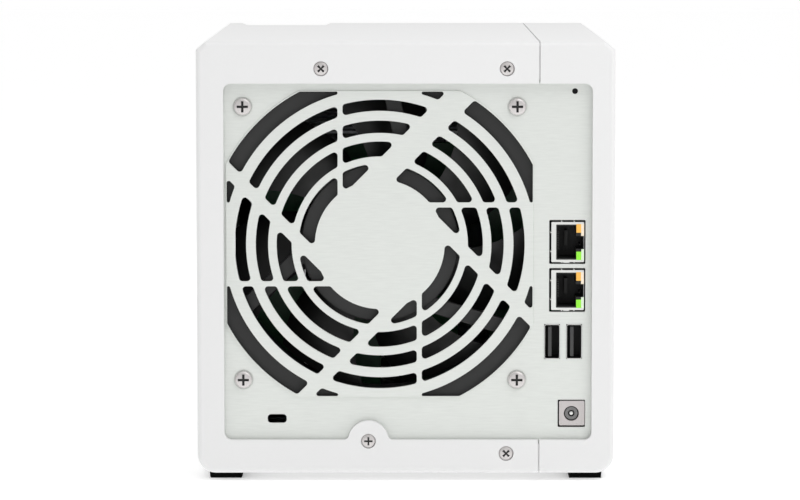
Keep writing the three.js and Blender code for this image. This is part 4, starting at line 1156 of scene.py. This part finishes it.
def build_usb_port(node, name, facing, tongue_side):
    """A tall socket shell with its tongue towards one side, and four contacts on the tongue."""
    port = Port(node, facing)
    low, high = node_box(node)
    half_width, half_height = (high.x - low.x) / 2 + 0.16, (high.z - low.z) / 2 + 0.2
    outer = rounded(-half_width, half_width, -half_height, half_height, 0.8, steps=4)
    inner_width, inner_height = half_width - USB_WALL, half_height - USB_WALL
    inner = rounded(-inner_width, inner_width, -inner_height, inner_height, 0.8 - USB_WALL, steps=4)
    builder = Builder()
    port.tube(builder, outer, inner, USB_SHELL)
    place(builder.object(f"{name}_shell", TIN), CHASSIS, "port_shield", node)
    builder = Builder()
    port.tube(builder, outer, inner, 9.5, start=USB_SHELL, floor=port.depth)
    place(builder.object(f"{name}_lining", NYLON), CHASSIS, "connector_black")
    builder = Builder()
    near = -half_width + 1.45
    tongue = (near, near + 1.3) if tongue_side < 0 else (-near - 1.3, -near)
    port.bar(builder, (*tongue, 0.95 - half_height, half_height - 0.95), 0.9, 9.6)
    place(builder.object(f"{name}_tongue", TONGUE), CHASSIS, "connector_black")
    builder = Builder()
    edge = tongue[1] if tongue_side < 0 else tongue[0]
    for contact in (-3.5, -1, 1, 3.5):
        port.bar(builder, (edge - 0.12, edge + 0.12, contact - 0.45, contact + 0.45), 1.6, 9.4)
    place(builder.object(f"{name}_contacts", CONTACT), CHASSIS, "port_shield")


def build_dc_jack():
    """A square power inlet with a sunk sleeve and a centre pin."""
    port = Port("dc_jack")
    low, high = node_box("dc_jack")
    half = (high.x - low.x) / 2
    builder = Builder()
    outside = rounded(0.15 - half, half + 0.15, 0.3 - half, half, 0.5, steps=3)
    # The body's outer wall is painted black: painted shade in the gap between jack and plate.
    port.tube(builder, outside, circle((0, 0), 2.9, 36), 9, floor=port.depth, painted_shade_outside=True)
    place(builder.object("dc_jack_body", JACK_GRAY, NYLON), CHASSIS, "jack_gray", "dc_jack")
    builder = Builder()
    port.tube(builder, circle((0, 0), 2.45, 36), circle((0, 0), 1.25, 24), 8.5, start=0.9, floor=8.9)
    # A thin black ring between the sleeve and the bore: painted shade in the gap between them.
    recess = len(builder.faces)
    port.tube(builder, circle((0, 0), 2.88, 36), circle((0, 0), 2.46, 36), 8.8, start=1.6)
    builder.paint(1, recess)
    place(builder.object("dc_jack_sleeve", SLEEVE, NYLON), CHASSIS, "port_shield")
    builder = Builder()
    builder.prism(port.outline(circle((0, 0), 0.78, 20)[::-1]), port.at(8.6), port.at(1.2), 0.3)
    place(builder.object("dc_jack_pin", TIN), CHASSIS, "port_shield")


for number in (1, 2):
    build_lan_jack(number)
    build_usb_port(f"rear_usb_port_{number}", f"rear_usb_{number}", 1, -1)
build_usb_port("front_usb_port", "front_usb", -1, 1)
build_dc_jack()

# -------------------- what stays as made in CAD

BAYS = range(1, 5)
# (material, edge width, nodes)
CAD_FINISHES = [
    (BEZEL_WHITE, 0.4, ["front_bezel"]),
    (SHEET, 0, ["cage_shell", "cage_roof", "bay_divider_1", "bay_divider_2", "bay_divider_3"]),
    (SOLDER_MASK, 0.2, ["mainboard", "backplane", "front_board"]),
    (ALUMINIUM, 0.2, ["heatsink"]),
    (CELL_STEEL, 0.4, ["coin_cell"]),
    (RUBBER, 0.5, ["foot_front_left", "foot_front_right", "foot_rear_left", "foot_rear_right"]),
    (NYLON, 0.2, ["reset_switch", "reset_button"]),
    (BUTTON_GRAY, 0.4, ["power_button", "copy_button"]),
    (LENS_CLEAR, 0.2, ["status_lens", "network_lens", "usb_lens"]),
    (NYLON, 0.1, [f"sata_connector_{bay}" for bay in BAYS]),
    (TRAY_WHITE, 0.35, [f"drive_tray_{bay}" for bay in BAYS]),
    (LEVER_WHITE, 0.35, [f"tray_lever_{bay}" for bay in BAYS]),
    (BUTTON_GRAY, 0.3, [f"tray_latch_{bay}" for bay in BAYS]),
]
for material, width, nodes in CAD_FINISHES:
    for node in nodes:
        finish_cad(node, material, width)

# -------------------- dark strips in the trays, painted shade behind the air slots

SHADE_REACH, SHADE_WIDTH = 9.9, 2.9
SHADE_BOTTOM, SHADE_TOP = 28, 123.5
SHADE_THICKNESS = 0.8
SHADE_GAP = 0.05
TRAY_FACE = 4.5


def build_vent_shades(bay):
    """Two dark strips behind the air slots of a tray's face: painted shade that keeps the inside of the
    case dark where light would come through the slots.
    """
    low, high = node_box(f"drive_tray_{bay}")
    middle = (low.x + high.x) / 2
    front = low.y + TRAY_FACE + SHADE_GAP
    builder = Builder()
    for side in (-1, 1):
        ends = sorted((middle + side * SHADE_REACH, middle + side * (SHADE_REACH + SHADE_WIDTH)))
        outline = rectangle(*ends, SHADE_BOTTOM, SHADE_TOP)
        builder.prism(outline, front, front + SHADE_THICKNESS)
    place(builder.object(f"vent_shades_{bay}", VENT_SHADE), f"tray_{bay}", "connector_black")


for bay in BAYS:
    build_vent_shades(bay)
